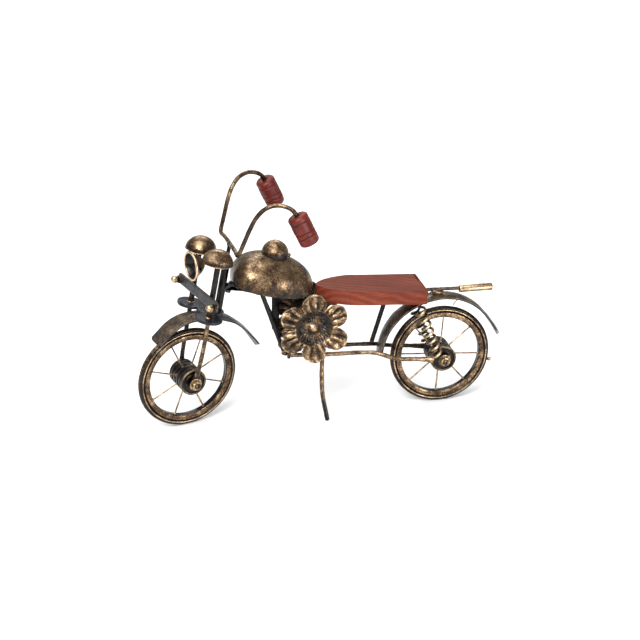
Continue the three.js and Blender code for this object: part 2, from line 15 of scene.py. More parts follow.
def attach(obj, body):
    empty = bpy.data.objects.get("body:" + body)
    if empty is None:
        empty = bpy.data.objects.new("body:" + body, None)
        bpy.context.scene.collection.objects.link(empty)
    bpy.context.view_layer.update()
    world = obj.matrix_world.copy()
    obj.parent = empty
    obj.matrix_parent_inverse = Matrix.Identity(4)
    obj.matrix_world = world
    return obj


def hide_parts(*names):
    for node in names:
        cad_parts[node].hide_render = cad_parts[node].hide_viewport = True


MM = 0.001
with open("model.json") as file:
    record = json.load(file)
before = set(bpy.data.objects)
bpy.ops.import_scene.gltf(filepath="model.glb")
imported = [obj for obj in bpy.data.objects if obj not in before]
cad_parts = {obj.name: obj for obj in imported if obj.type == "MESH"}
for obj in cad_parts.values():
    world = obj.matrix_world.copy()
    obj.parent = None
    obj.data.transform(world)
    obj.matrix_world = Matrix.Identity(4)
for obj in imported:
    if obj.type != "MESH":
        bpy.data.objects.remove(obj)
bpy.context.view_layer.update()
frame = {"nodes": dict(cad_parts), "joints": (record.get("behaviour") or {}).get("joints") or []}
joints = {joint["name"]: joint for joint in frame["joints"]}
noise.seed_set(7)       # without a seed the noise would differ from run to run


# ---- frames ------------------------------------------------------------------------------------
def set_square(origin, across, up):
    """A frame at `origin`, in metres, with y along `across` and z as near to `up` as it can be."""
    y = Vector(across).normalized()
    x = y.cross(Vector(up)).normalized()
    z = x.cross(y)
    turn = Matrix((x, y, z)).transposed().to_4x4()
    return Matrix.Translation(Vector(origin)) @ turn @ Matrix.Scale(MM, 4)


def cad_points(node):
    return np.array([v.co for v in frame["nodes"][node].data.vertices])


def extent(node, place):
    """The lowest and highest corner of a CAD node along the axes of a frame, in millimetres."""
    back = np.array(place.inverted())
    points = cad_points(node) @ back[:3, :3].T + back[:3, 3]
    return points.min(0), points.max(0)


def middle(node):
    return Vector(cad_points(node).mean(0))


def shifted(place, x=0.0, y=0.0, z=0.0):
    return place @ Matrix.Translation((x, y, z))


def turned_about(place, axis, degrees):
    return place @ Matrix.Rotation(math.radians(degrees), 4, axis)


up_the_fork = joints["steering"]["axis"]
rear_wheel = set_square(joints["rear_wheel_spin"]["pos_m"], joints["rear_wheel_spin"]["axis"], (0, 0, 1))
front_wheel = set_square(joints["front_wheel_spin"]["pos_m"], joints["front_wheel_spin"]["axis"], up_the_fork)
steering = set_square(joints["steering"]["pos_m"], joints["rear_wheel_spin"]["axis"], up_the_fork)
fork = set_square(joints["steering"]["pos_m"], joints["front_wheel_spin"]["axis"], up_the_fork)
bars = set_square(joints["steering"]["pos_m"], middle("grip_right") - middle("grip_left"), up_the_fork)
WHEEL_R = extent("rear_wheel_ring", rear_wheel)[1][0]
REAR_AXLE_X = joints["rear_wheel_spin"]["pos_m"][0] / MM
bike = shifted(rear_wheel, -REAR_AXLE_X, 0, -WHEEL_R)

SIDES = (("left", -1), ("right", 1))


# ---- shapes ------------------------------------------------------------------------------------
class Shape:
    """Points in millimetres, faces, and for each point how much more bronze shows there: rubbed wear, painted
    highlight and painted shade together.
    """

    def __init__(self, points, faces, wear_and_shading=0.0):
        self.points = np.asarray(points, float).reshape(-1, 3)
        self.faces = [tuple(int(i) for i in face) for face in faces]
        self.wear_and_shading = np.zeros(len(self.points)) + np.asarray(wear_and_shading, float)

    def __add__(self, other):
        start = len(self.points)
        moved_faces = [tuple(i + start for i in face) for face in other.faces]
        points = np.vstack([self.points, other.points])
        return Shape(points, self.faces + moved_faces, np.concatenate([self.wear_and_shading, other.wear_and_shading]))

    def placed(self, matrix):
        m = np.array(matrix)
        return Shape(self.points @ m[:3, :3].T + m[:3, 3], self.faces, self.wear_and_shading)

    def uneven(self, amount, size, seed):
        """Moves every point by a smooth random amount, as handwork does; `size` is that of the bumps."""
        offset = Vector((seed * 17.3, seed * 5.1, -seed * 9.7))
        moves = [noise.noise_vector(Vector(p) / size + offset) for p in self.points]
        return Shape(self.points + amount * np.array(moves), self.faces, self.wear_and_shading)


def loft(rings, wear_and_shading=0.0, closed=True, ends=True):
    """A skin over rings of equal numbers of points. The bronze share, with its painted light and shade, is
    one number, or one for each ring.
    """
    rings = np.asarray(rings, float)
    count, around = rings.shape[:2]
    grid = np.arange(count * around).reshape(count, around)
    after = np.roll(grid, -1, 1) if closed else grid[:, 1:]
    here = grid if closed else grid[:, :-1]
    faces = np.stack([here[:-1], after[:-1], after[1:], here[1:]], -1).reshape(-1, 4).tolist()
    points = rings.reshape(-1, 3)
    shades = np.broadcast_to(np.asarray(wear_and_shading, float).reshape(-1, 1), (count, around)).ravel()
    if ends:
        faces.append(grid[0][::-1].tolist())
        faces.append(grid[-1].tolist())
    return Shape(points, faces, shades)


def lathe(profile, segments=72, wear_and_shading=0.0):
    """A turned shape about y from (radius, y) pairs. A radius of zero at an end closes it."""
    profile = np.asarray(profile, float)
    angles = np.linspace(0, 2 * np.pi, segments, endpoint=False)
    rings = [np.stack([r * np.cos(angles), np.full(segments, y), r * np.sin(angles)], 1) for r, y in profile]
    shades = np.broadcast_to(np.asarray(wear_and_shading, float), len(profile))
    loop = np.allclose(profile[0], profile[-1])
    shape = loft(rings, shades, ends=False)
    return welded(shape) if loop or profile[0][0] < 1e-6 or profile[-1][0] < 1e-6 else shape


def welded(shape, reach=1e-4):
    """The same shape with points that coincide made one."""
    keys = np.round(shape.points / reach).astype(np.int64)
    _, first, back = np.unique(keys, axis=0, return_index=True, return_inverse=True)
    back = back.ravel()
    faces = []
    for face in shape.faces:
        kept = [back[i] for i in face]
        kept = [k for i, k in enumerate(kept) if k != kept[i - 1]]
        if len(kept) > 2:
            faces.append(kept)
    return Shape(shape.points[first], faces, shape.wear_and_shading[first])


def rounded(corners, reach, steps=3, closed=False):
    """The outline with every corner turned into a short curve that starts `reach` before it."""
    corners = np.asarray(corners, float)
    count = len(corners)
    result = []
    for i, corner in enumerate(corners):
        if not closed and i in (0, count - 1):
            result.append(corner)
            continue
        before = corners[i - 1] - corner
        after = corners[(i + 1) % count] - corner
        start = corner + before * min(0.48, reach / np.linalg.norm(before))
        end = corner + after * min(0.48, reach / np.linalg.norm(after))
        for t in np.linspace(0, 1, steps + 1):
            result.append((1 - t) ** 2 * start + 2 * t * (1 - t) * corner + t ** 2 * end)
    return np.array(result)


def curve_through(points, spacing=0.9):
    """Evenly spaced points on a smooth curve through the given ones."""
    points = np.asarray(points, float)
    if len(points) == 2:
        count = max(2, int(np.linalg.norm(points[1] - points[0]) / spacing) + 1)
        return points[0] + np.linspace(0, 1, count)[:, None] * (points[1] - points[0])
    padded = np.vstack([2 * points[0] - points[1], points, 2 * points[-1] - points[-2]])
    knots = np.concatenate([[0], np.cumsum(np.linalg.norm(np.diff(padded, axis=0), axis=1) ** 0.5)])
    fine = []
    for i in range(1, len(padded) - 2):
        for t in np.linspace(knots[i], knots[i + 1], 24, endpoint=False):
            fine.append(catmull(padded[i - 1:i + 3], knots[i - 1:i + 3], t))
    fine.append(points[-1])
    fine = np.array(fine)
    run = np.concatenate([[0], np.cumsum(np.linalg.norm(np.diff(fine, axis=0), axis=1))])
    at = np.linspace(0, run[-1], max(3, int(run[-1] / spacing) + 1))
    return np.stack([np.interp(at, run, fine[:, k]) for k in range(fine.shape[1])], 1)


def catmull(p, k, t):
    a = [((k[i + 1] - t) * p[i] + (t - k[i]) * p[i + 1]) / (k[i + 1] - k[i]) for i in range(3)]
    b = [((k[i + 2] - t) * a[i] + (t - k[i]) * a[i + 1]) / (k[i + 2] - k[i]) for i in range(2)]
    return ((k[2] - t) * b[0] + (t - k[1]) * b[1]) / (k[2] - k[1])


def directions(path):
    steps = np.gradient(path, axis=0)
    return steps / np.linalg.norm(steps, axis=1)[:, None]


def carried_side(along, first):
    """A direction square to the path at each of its points, carried along it without twisting."""
    side = np.asarray(first, float)
    sides = []
    for t in along:
        side = side - (side @ t) * t
        side = side / np.linalg.norm(side)
        sides.append(side)
    return np.array(sides)


END_ROUND = [(0.3, 0.42), (0.72, 0.3), (0.94, 0.12)]      # share of the radius, and how far it stands out


def rod(points, radius, side=(0, 1, 0), flat=None, seed=1, sides=16, roughness=0.05, wear_and_shading=0.0):
    """A forged bar along a smooth path with rounded ends.
    `flat` gives, for how far along it is from 0 to 1, its width and thickness as shares of the radius."""
    path = curve_through(points, spacing=min(0.9, radius * 0.6))
    along = directions(path)
    thin = carried_side(along, side)
    wide = np.cross(along, thin)
    angles = np.linspace(0, 2 * np.pi, sides, endpoint=False)
    share = np.linspace(0, 1, len(path))
    rings = []
    for p, t, w, s in zip(path, thin, wide, share):
        a, b = flat(s) if flat else (1.0, 1.0)
        swell = 1 + roughness * noise.noise(Vector(p) * 0.35 + Vector((seed, 0, 0)))
        rings.append(p + radius * swell * (a * np.outer(np.cos(angles), w) + b * np.outer(np.sin(angles), t)))
    start = [path[0] + (rings[0] - path[0]) * k - along[0] * radius * h for k, h in END_ROUND]
    end = [path[-1] + (rings[-1] - path[-1]) * k + along[-1] * radius * h for k, h in END_ROUND]
    shape = loft([*start, *rings, *end[::-1]], wear_and_shading)
    return shape.uneven(roughness * 1.2, 3.0, seed)


# Turn a slab's outline in x and y upright, into y and z or into x and z.
FACING_FRONT = Matrix(((0, 0, 1, 0), (1, 0, 0, 0), (0, 1, 0, 0), (0, 0, 0, 1)))
FACING_SIDE = Matrix(((1, 0, 0, 0), (0, 0, 1, 0), (0, 1, 0, 0), (0, 0, 0, 1)))


def slab(outline, low, high, edge, wear_and_shading=0.0):
    """A flat piece in x and y between two heights, with its edges rounded over by `edge`."""
    outline = np.asarray(outline, float)
    ahead = np.roll(outline, -1, 0) - np.roll(outline, 1, 0)
    inward = np.stack([-ahead[:, 1], ahead[:, 0]], 1) / np.linalg.norm(ahead, axis=1)[:, None]
    levels = [(4 * edge, low), (edge, low), (0.3 * edge, low + 0.3 * edge), (0, low + edge),
              (0, high - edge), (0.3 * edge, high - 0.3 * edge), (edge, high), (4 * edge, high)]
    rings = [np.column_stack([outline + inward * inset, np.full(len(outline), z)]) for inset, z in levels]
    return loft(rings, wear_and_shading)


def lump(centre, size, seed, detail=3):
    """A bead of weld metal: a ball pulled out of round."""
    build = bmesh.new()
    bmesh.ops.create_icosphere(build, subdivisions=detail, radius=1)
    points = np.array([v.co for v in build.verts])
    faces = [[v.index for v in face.verts] for face in build.faces]
    build.free()
    offset = Vector((seed * 3.7, -seed * 2.3, seed))
    swell = [1 + 0.28 * noise.noise(Vector(p) * 1.6 + offset) for p in points]
    points = points * np.array(swell)[:, None] * np.asarray(size, float)
    return Shape(points + np.asarray(centre, float), faces)


# ---- putting a piece in the scene --------------------------------------------------------------
WEAR_GAIN = 1.5       # how fast curvature, in 1/mm, rubs through the black
PAINTED_TOP_LIGHT = 0.16        # how much lighter faces that look up are painted, and faces that look down darker: painted light from above
WEAR_SPREAD = 2


def paint_wear_and_shading(mesh, bias):
    """Stores on each point how much bronze shows: rubbed through most on edges, painted lighter on faces that
    look up and darker on faces that look down as painted light and shade, plus the painted shade and wear
    that each shape brings in `bias`.
    """
    count = len(mesh.vertices)
    points = np.empty(count * 3)
    mesh.vertices.foreach_get("co", points)
    points = points.reshape(-1, 3) / MM
    normals = np.empty(count * 3)
    mesh.vertex_normals.foreach_get("vector", normals)
    normals = normals.reshape(-1, 3)
    pairs = np.empty(len(mesh.edges) * 2, int)
    mesh.edges.foreach_get("vertices", pairs)
    a, b = pairs.reshape(-1, 2).T
    step = points[b] - points[a]
    square = np.maximum((step ** 2).sum(1), 1e-4)
    bend = np.bincount(a, -(normals[a] * step).sum(1) / square, count)
    bend += np.bincount(b, (normals[b] * step).sum(1) / square, count)
    neighbours = np.maximum(np.bincount(a, minlength=count) + np.bincount(b, minlength=count), 1)
    bend /= neighbours
    for _ in range(WEAR_SPREAD):
        nearby = np.bincount(a, bend[b], count) + np.bincount(b, bend[a], count)
        bend = 0.5 * bend + 0.5 * nearby / neighbours
    # Edge wear, plus painted light on upward faces, painted shade on downward ones, and each shape's own
    # painted shade and wear.
    wear_and_shading = 0.5 + 0.5 * np.tanh(WEAR_GAIN * bend) + PAINTED_TOP_LIGHT * normals[:, 2] + bias
    stored = mesh.attributes.new("wear_and_shading", "FLOAT", "POINT")
    stored.data.foreach_set("value", wear_and_shading.astype(np.float32))


def piece(name, shape, place, body, slot, replaces=(), crease=35):
    """Makes the shape an object that rides on a CAD body and stands for the CAD nodes in `replaces`."""
    shape = shape.placed(place)
    mesh = bpy.data.meshes.new(name)
    mesh.from_pydata(shape.points.tolist(), [], shape.faces)
    build = bmesh.new()
    build.from_mesh(mesh)
    bmesh.ops.recalc_face_normals(build, faces=build.faces)
    build.to_mesh(mesh)
    build.free()
    mesh.shade_smooth()
    mesh.set_sharp_from_angle(angle=math.radians(crease))
    paint_wear_and_shading(mesh, shape.wear_and_shading)
    mesh.materials.append(finishes[slot])
    made = bpy.data.objects.new(name, mesh)
    bpy.context.scene.collection.objects.link(made)
    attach(made, body)
    if replaces:
        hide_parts(*replaces)
    return made


# ---- finishes ----------------------------------------------------------------------------------
class Value:
    """A number that varies over a surface. Python's operators on it add Math nodes."""

    def __init__(self, finish, socket):
        self.finish = finish
        self.socket = socket

    def math(self, operation, first, second):
        made = self.finish.node("ShaderNodeMath", {"operation": operation}, {0: first, 1: second})
        return Value(self.finish, made.outputs[0])

    def __add__(self, other):
        return self.math("ADD", self, other)

    __radd__ = __add__

    def __sub__(self, other):
        return self.math("SUBTRACT", self, other)

    def __rsub__(self, other):
        return self.math("SUBTRACT", other, self)

    def __mul__(self, other):
        return self.math("MULTIPLY", self, other)

    __rmul__ = __mul__


class Finish:
    """A material being made from nodes."""

    def __init__(self, name):
        self.material = bpy.data.materials.new(name)
        self.material.use_nodes = True
        self.tree = self.material.node_tree
        self.tree.nodes.clear()

    def node(self, kind, settings=None, inputs=None):
        made = self.tree.nodes.new(kind)
        for key, value in (settings or {}).items():
            if key == "stops":
                self.set_stops(made.color_ramp, value)
            else:
                setattr(made, key, value)
        for key, value in (inputs or {}).items():
            self.feed(made, key, value)
        return made

    def set_stops(self, ramp, stops):
        while len(ramp.elements) < len(stops):
            ramp.elements.new(0.5)
        for element, (position, colour) in zip(ramp.elements, stops):
            element.position = position
            element.color = (*colour, 1)

    def feed(self, made, key, value):
        by_identifier = {socket.identifier: socket for socket in made.inputs}
        socket = by_identifier[key] if key in by_identifier else made.inputs[key]
        if isinstance(value, Value):
            self.tree.links.new(value.socket, socket)
        elif isinstance(value, bpy.types.NodeSocket):
            self.tree.links.new(value, socket)
        else:
            socket.default_value = value

    def stored(self, name):
        made = self.node("ShaderNodeAttribute", {"attribute_name": name})
        return Value(self, made.outputs["Fac"])

    def position(self, stretch=(1, 1, 1), offset=(0, 0, 0)):
        """The place on the piece in millimetres, stretched and moved."""
        here = self.node("ShaderNodeTexCoord").outputs["Object"]
        scale = tuple(s / MM for s in stretch)
        made = self.node("ShaderNodeMapping", {}, {"Vector": here, "Scale": scale, "Location": offset})
        return made.outputs[0]

    def cloud(self, size, detail=3.0, rough=0.55, stretch=(1, 1, 1), offset=(0, 0, 0), warp=0.0):
        """Random noise from 0 to 1 with features of `size` millimetres."""
        made = self.node("ShaderNodeTexNoise", {}, {
            "Vector": self.position(stretch, offset), "Scale": 1 / size, "Detail": detail,
            "Roughness": rough, "Distortion": warp})
        return Value(self, made.outputs["Fac"])

    def step(self, value, low, high, to_low=0.0, to_high=1.0):
        """A smooth step from `to_low` at `low` to `to_high` at `high`."""
        made = self.node("ShaderNodeMapRange", {"interpolation_type": "SMOOTHSTEP"}, {
            "Value": value, "From Min": low, "From Max": high, "To Min": to_low, "To Max": to_high})
        return Value(self, made.outputs["Result"])

    def mix(self, share, first, second):
        made = self.node("ShaderNodeMix", {"data_type": "RGBA"}, {
            "Factor_Float": share, "A_Color": first, "B_Color": second})
        return made.outputs[2]

    def ramp(self, value, stops):
        made = self.node("ShaderNodeValToRGB", {"stops": stops}, {"Fac": value})
        return made.outputs["Color"]

    def bump(self, height, depth, under=None):
        """A bump `depth` millimetres deep."""
        inputs = {"Height": height, "Distance": depth * MM, "Strength": 1.0}
        if under is not None:
            inputs["Normal"] = under
        return self.node("ShaderNodeBump", {}, inputs).outputs["Normal"]

    def done(self, colour, roughness, metallic, normal, **constants):
        inputs = {"Base Color": colour, "Roughness": roughness, "Metallic": metallic, "Normal": normal}
        inputs.update({key.replace("_", " "): value for key, value in constants.items()})
        shader = self.node("ShaderNodeBsdfPrincipled", {}, inputs)
        self.node("ShaderNodeOutputMaterial", {}, {"Surface": shader.outputs[0]})
        return self.material


def rgb(red, green, blue):
    """A colour from its screen values out of 255."""
    colour = []
    for level in (red, green, blue):
        share = level / 255
        colour.append(share / 12.92 if level <= 10 else ((share + 0.055) / 1.055) ** 2.4)
    return tuple(colour)


def rubbed_metal(name, ground, thin, thick, cover, ground_gloss):
    """Paint with bronze rubbed over it: `cover` says how much of it, where nothing else changes it."""
    f = Finish(name)
    wear_and_shading = f.stored("wear_and_shading")
    patches = f.cloud(9, detail=4, rough=0.6)
    blotches = f.cloud(2.6, detail=3, rough=0.6, offset=(31, 7, 3))
    speckle = f.cloud(0.55, detail=2, rough=0.7, offset=(5, 11, 23))
    # The stored share brings edge wear, painted light on upward faces and the painted shade of insides,
    # undersides and far sides into how much bronze covers the black.
    amount = wear_and_shading + 0.9 * (patches - 0.5) + 0.55 * (blotches - 0.5) + 0.95 * (speckle - 0.5) + cover
    film = f.step(amount, 0.34, 0.8)
    heavy = f.step(amount, 0.58, 1.1)
    tint = f.mix(f.step(patches, 0.35, 0.65), (*ground[0], 1), (*ground[1], 1))
    colour = f.mix(film, tint, (*thin, 1))
    colour = f.mix(heavy, colour, (*thick, 1))
    roughness = ground_gloss + film * 0.12 + 0.3 * (speckle - 0.5)
    metallic = 0.1 + film * 0.85
    dents = f.bump(blotches, 0.22)
    grain = f.bump(speckle + film * 0.5, 0.05, dents)
    return f.done(colour, roughness, metallic, grain, Specular_IOR_Level=0.25)


def antique_bronze():
    return rubbed_metal("antique_bronze", (rgb(6, 5, 5), rgb(18, 13, 10)), rgb(96, 72, 49),
                        rgb(208, 180, 144), 0.02, 0.18)


def blackened_iron():
    return rubbed_metal("blackened_iron", (rgb(5, 5, 6), rgb(13, 12, 13)), rgb(66, 54, 43),
                        rgb(150, 130, 106), -0.2, 0.26)


def grey_sheet():
    return rubbed_metal("grey_sheet", (rgb(22, 23, 28), rgb(46, 48, 56)), rgb(88, 74, 60),
                        rgb(180, 158, 130), -0.12, 0.26)


def seat_wood():
    f = Finish("seat_wood")
    lie = (0.10, 1.0, 1.0)
    bend = f.cloud(26, detail=2, rough=0.5, stretch=(0.5, 1, 1))
    across = f.node("ShaderNodeSeparateXYZ", {}, {0: f.position()})
    x = Value(f, across.outputs[0])
    y = Value(f, across.outputs[1])
    z = Value(f, across.outputs[2])
    ring = y * 0.55 + x * 0.22 + z * 0.7 + bend * 12
    bands = Value(f, f.node("ShaderNodeMath", {"operation": "SINE"}, {0: ring * 2.1}).outputs[0])
    fine = f.cloud(0.5, detail=3, rough=0.6, stretch=lie)
    pores = f.cloud(0.28, detail=1, stretch=(0.06, 1, 1), offset=(9, 2, 4))
    tone = 0.45 + bands * 0.09 + (fine - 0.5) * 0.6 + (bend - 0.5) * 0.6
    colour = f.ramp(tone, [(0.12, rgb(66, 24, 12)), (0.42, rgb(98, 40, 24)), (0.66, rgb(122, 58, 36)),
                           (0.95, rgb(156, 94, 64))])
    pore = f.step(pores, 0.62, 0.72)
    colour = f.mix(pore * 0.55, colour, (*rgb(74, 32, 26), 1))
    normal = f.bump(fine * 0.7 - pore, 0.07)
    return f.done(colour, 0.5 + (fine - 0.5) * 0.25, 0.0, normal, Specular_IOR_Level=0.15)


def grip_wood():
    f = Finish("grip_wood")
    wear_and_shading = f.stored("wear_and_shading")
    bend = f.cloud(7, detail=2)
    fine = f.cloud(0.6, detail=3, rough=0.6, stretch=(1, 1, 0.14))
    # The stored share makes upward faces lighter and downward faces darker, as painted light and shade.
    tone = 0.45 + (bend - 0.5) * 0.7 + (fine - 0.5) * 0.6 + (wear_and_shading - 0.5) * 0.5
    colour = f.ramp(tone, [(0.1, rgb(40, 8, 5)), (0.45, rgb(80, 20, 13)), (0.7, rgb(102, 32, 21)),
                           (0.95, rgb(138, 66, 46))])
    normal = f.bump(fine, 0.08)
    return f.done(colour, 0.4 + (fine - 0.5) * 0.25, 0.0, normal, Specular_IOR_Level=0.25)


def pale_floor():
    f = Finish("pale_floor")
    mottle = f.cloud(60, detail=2)
    colour = f.mix(mottle, (0.93, 0.93, 0.93, 1), (0.96, 0.96, 0.957, 1))
    return f.done(colour, 0.85, 0.0, f.bump(mottle, 0.01), Specular_IOR_Level=0.1)


finishes = {
    "antique_bronze": antique_bronze(),
    "blackened_iron": blackened_iron(),
    "grey_sheet": grey_sheet(),
    "seat_wood": seat_wood(),
    "grip_wood": grip_wood(),
}


# ---- wheels, about their own axles -------------------------------------------------------------
SPOKES = 8
SPOKE_R = 0.58
RING_DEPTH = 8.1         # from the tread to the inner edge of the rim


def tyre_and_rim(node, place):
    """A pressed rim and a tyre in one ring: a wide bright band, a groove, a thin lip and a dark tread."""
    high = extent(node, place)[1]
    outer = high[0]
    half = high[1]
    inner = outer - RING_DEPTH
    side = [(inner + 0.15, 0, -0.45), (inner, half - 1.5, -0.4), (inner + 0.1, half - 0.5, 0.0),
            (inner + 0.9, half, 0.18), (inner + 3.6, half - 0.05, 0.2), (inner + 4.1, half - 0.5, -0.5),
            (inner + 4.4, half - 0.9, -0.7), (inner + 4.8, half - 0.5, -0.3),
            (inner + 5.3, half - 0.02, 0.12),
            (inner + 6.0, half - 0.1, 0.05), (inner + 6.3, half - 0.7, -0.5), (inner + 6.9, half - 0.6, -0.3),
            (inner + 7.6, half - 1.15, -0.2), (outer - 0.35, half - 1.5, -0.45), (outer, half - 1.9, -0.15),
            (outer, 0.5, -0.2), (outer - 0.4, 0.2, -0.6), (outer - 0.4, 0, -0.6)]
    back = [(r, -y, shade) for r, y, shade in side[:-1][::-1]][:-1]
    profile = rounded([*side, *back], 0.35, 2, closed=True)
    profile = np.vstack([profile, profile[:1]])
    return lathe(profile[:, :2], 144, profile[:, 2] - 0.16).uneven(0.12, 6, 3)


def drum(node, place):
    """The hub: a ridged drum with a raised rim round a sunken face at each end."""
    low, high = extent(node, place)
    r = high[0]
    near, far = low[1], high[1]
    # The sunken end faces are painted dark as painted shade.
    profile = [(2.0, near + 1.3, -0.6), (4.6, near + 1.3, -0.5), (4.8, near + 0.7, 0.1),
               (6.2, near + 0.7, 0.1), (6.4, near + 1.3, -0.5), (r - 1.7, near + 1.3, -0.45),
               (r - 1.5, near, 0.15), (r - 0.3, near, 0.25), (r, near + 0.4, 0.15), (r, near + 2.3, 0.0),
               (r - 0.8, near + 2.6, -0.4)]
    ridges = np.linspace(near + 4.1, far - 3.6, 4)
    for y in ridges:
        profile += [(r - 0.8, y - 1.1, -0.45), (r - 0.1, y - 0.9, -0.1), (r - 0.1, y + 0.9, -0.1),
                    (r - 0.8, y + 1.1, -0.45)]
    profile += [(r - 0.8, far - 1.5, -0.4), (r - 0.2, far - 1.2, 0), (r - 0.2, far, 0.1), (r - 1.6, far, 0.1),
                (r - 1.8, far - 1.2, -0.4), (2.0, far - 1.2, -0.5)]
    profile = rounded(profile, 0.3, 2)
    return lathe(profile[:, :2], 96, profile[:, 2]).uneven(0.08, 4, 5)


def washer(y, thickness, radius, seed):
    low, high = y - thickness / 2, y + thickness / 2
    profile = rounded([(1.9, low), (radius, low), (radius, high), (1.9, high), (1.9, low)], 0.25, 2)
    return lathe(profile, 48, -0.12).uneven(0.08, 3, seed)


def spoke(angle, hub_r, rim_r, seed):
    """A wire from the hub to the rim with a spot of weld at each end."""
    out = np.array([math.cos(angle), 0, math.sin(angle)])
    ends = [out * (hub_r - 0.6), out * (0.5 * hub_r + 0.5 * rim_r), out * (rim_r + 0.4)]
    wire = rod(ends, SPOKE_R, seed=seed, sides=10, wear_and_shading=-0.05)
    inner = lump(out * hub_r, (0.95, 0.95, 0.95), seed, 2)
    outer = lump(out * (rim_r - 0.1), (0.9, 0.9, 0.9), seed + 5, 2)
    return wire + inner + outer


def wheel(which, place):
    ring = f"{which}_wheel_ring"
    hub = f"{which}_wheel_hub"
    body = f"{which}_wheel"
    rim_r = extent(ring, place)[1][0] - RING_DEPTH
    hub_r = extent(hub, place)[1][0] - 0.4
    piece(f"{which}_tyre_and_rim", tyre_and_rim(ring, place), place, body, "antique_bronze", [ring])
    piece(f"{which}_hub_drum", drum(hub, place), place, body, "blackened_iron", [hub])
    for i in range(SPOKES):
        node = f"{which}_spoke_{i + 1}"
        toward = place.inverted() @ middle(node)
        angle = math.atan2(toward.z, toward.x)
        wire = spoke(angle, hub_r, rim_r, i + 1)
        piece(f"{which}_wire_{i + 1}", wire, place, body, "antique_bronze", [node])


def axle_bolt(node, place):
    """A bolt with turned threads at both ends."""
    low, high = extent(node, place)
    r = high[0]
    profile = [(0, low[1] + 0.5), (0.45, low[1] + 0.5), (0.6, low[1] + 0.05), (r - 0.5, low[1]),
               (r - 0.1, low[1] + 0.5)]
    threads = np.arange(low[1] + 0.9, low[1] + 4.2, 0.6)
    for y in threads:
        profile += [(r - 0.22, y), (r, y + 0.3)]
    profile += [(r, 0)]
    mirrored = [(radius, low[1] + high[1] - y) for radius, y in profile[::-1][1:]]
    return lathe([*profile, *mirrored], 28, 0.1)


def hex_nut(node, place, seed):
    """A six-sided nut, its corners turned off, over a thin washer."""
    low, high = extent(node, place)
    y0, y1 = low[1], high[1]
    across = 0.5 * (high[2] - low[2])
    angles = np.linspace(0, 2 * np.pi, 48, endpoint=False)
    flat = across * math.cos(math.pi / 6)
    hexagon = flat / np.cos((angles + math.pi / 6) % (math.pi / 3) - math.pi / 6)
    levels = [(2.0, y0), (flat * 0.93, y0), (flat * 1.0, y0 + 0.12), (9, y0 + 0.5), (9, y1 - 0.5),
              (flat * 1.0, y1 - 0.12), (flat * 0.93, y1), (2.0, y1)]
    rings = []
    for limit, y in levels:
        r = np.minimum(hexagon, limit)
        rings.append(np.stack([r * np.cos(angles), np.full(48, y), r * np.sin(angles)], 1))
    return loft([*rings, rings[0]], 0.08, ends=False).uneven(0.05, 2, seed)


def axle_set(which, place, body):
    """The bolt and its nuts, which stay with the frame or the fork while the wheel turns."""
    axle = f"{which}_axle"
    piece(f"{which}_axle_bolt", axle_bolt(axle, place), place, body, "blackened_iron", [axle])
    for i, (side, sign) in enumerate(SIDES):
        node = f"{which}_nut_{side}"
        low, high = extent(node, place)
        inner = low[1] if sign > 0 else high[1]
        shape = hex_nut(node, place, i + 2) + washer(inner - sign * 0.1, 0.7, 4.6, i + 7)
        piece(f"{which}_hex_nut_{side}", shape, place, body, "antique_bronze", [node], crease=28)


# ---- fork ---------------------------------------------------------------------------------------
LEG_X = -14.4
LEG_Y = 14.9
LEG_R = 1.6
LEG_UPPER_R = 2.05
FORK_AXLE_X = -15
FORK_AXLE_Z = -2.73
EYE_Y = 12.7        # the flattened ends beside both hubs


def flattened_end(centre, toward, seed, radius=3.5, thickness=1.9):
    """The hammered eye at the end of a bar: a rounded tongue that lies square to y."""
    angles = np.linspace(0.5 * np.pi, 1.5 * np.pi, 18)
    arc = np.stack([radius * np.cos(angles), radius * np.sin(angles)], 1)
    length = np.linalg.norm(toward)
    outline = np.vstack([arc, [(length * 0.6, -radius * 0.75), (length, -radius * 0.42),
                               (length, radius * 0.42), (length * 0.6, radius * 0.75)]])
    outline = rounded(outline, 0.8, 2, closed=True)
    tongue = slab(outline, -thickness / 2, thickness / 2, 0.4, -0.45)
    turn = math.atan2(toward[1], toward[0])
    upright = Matrix.Rotation(-turn, 4, "Y") @ Matrix.Rotation(math.pi / 2, 4, "X")
    return tongue.placed(Matrix.Translation(centre) @ upright).uneven(0.22, 3, seed)


def fork_leg(sign, crown_top, top):
    eye_y = sign * EYE_Y

    def section(s):
        near = max(0.0, 1 - s * 8)
        return 1 + 0.55 * near, 1 - 0.45 * near

    # The right leg, on the far side, is painted darker than the left as painted shade.
    lower = rod([(FORK_AXLE_X + 0.2, eye_y, FORK_AXLE_Z + 5),
                 (FORK_AXLE_X + 0.3, sign * (LEG_Y - 0.8), FORK_AXLE_Z + 14),
                 (LEG_X, sign * LEG_Y, 26), (LEG_X, sign * LEG_Y, crown_top + 4)],
                LEG_R, flat=section, seed=3 + sign, roughness=0.09, wear_and_shading=-0.15 - 0.15 * sign)
    upper = rod([(LEG_X, sign * LEG_Y, crown_top + 0.5), (LEG_X, sign * LEG_Y, 0.5 * (crown_top + top)),
                 (LEG_X, sign * LEG_Y, top)], LEG_UPPER_R, seed=8 + sign, wear_and_shading=-0.3)
    return lower + upper + flattened_end((FORK_AXLE_X, eye_y, FORK_AXLE_Z), (0.3, 9), 5 + sign)


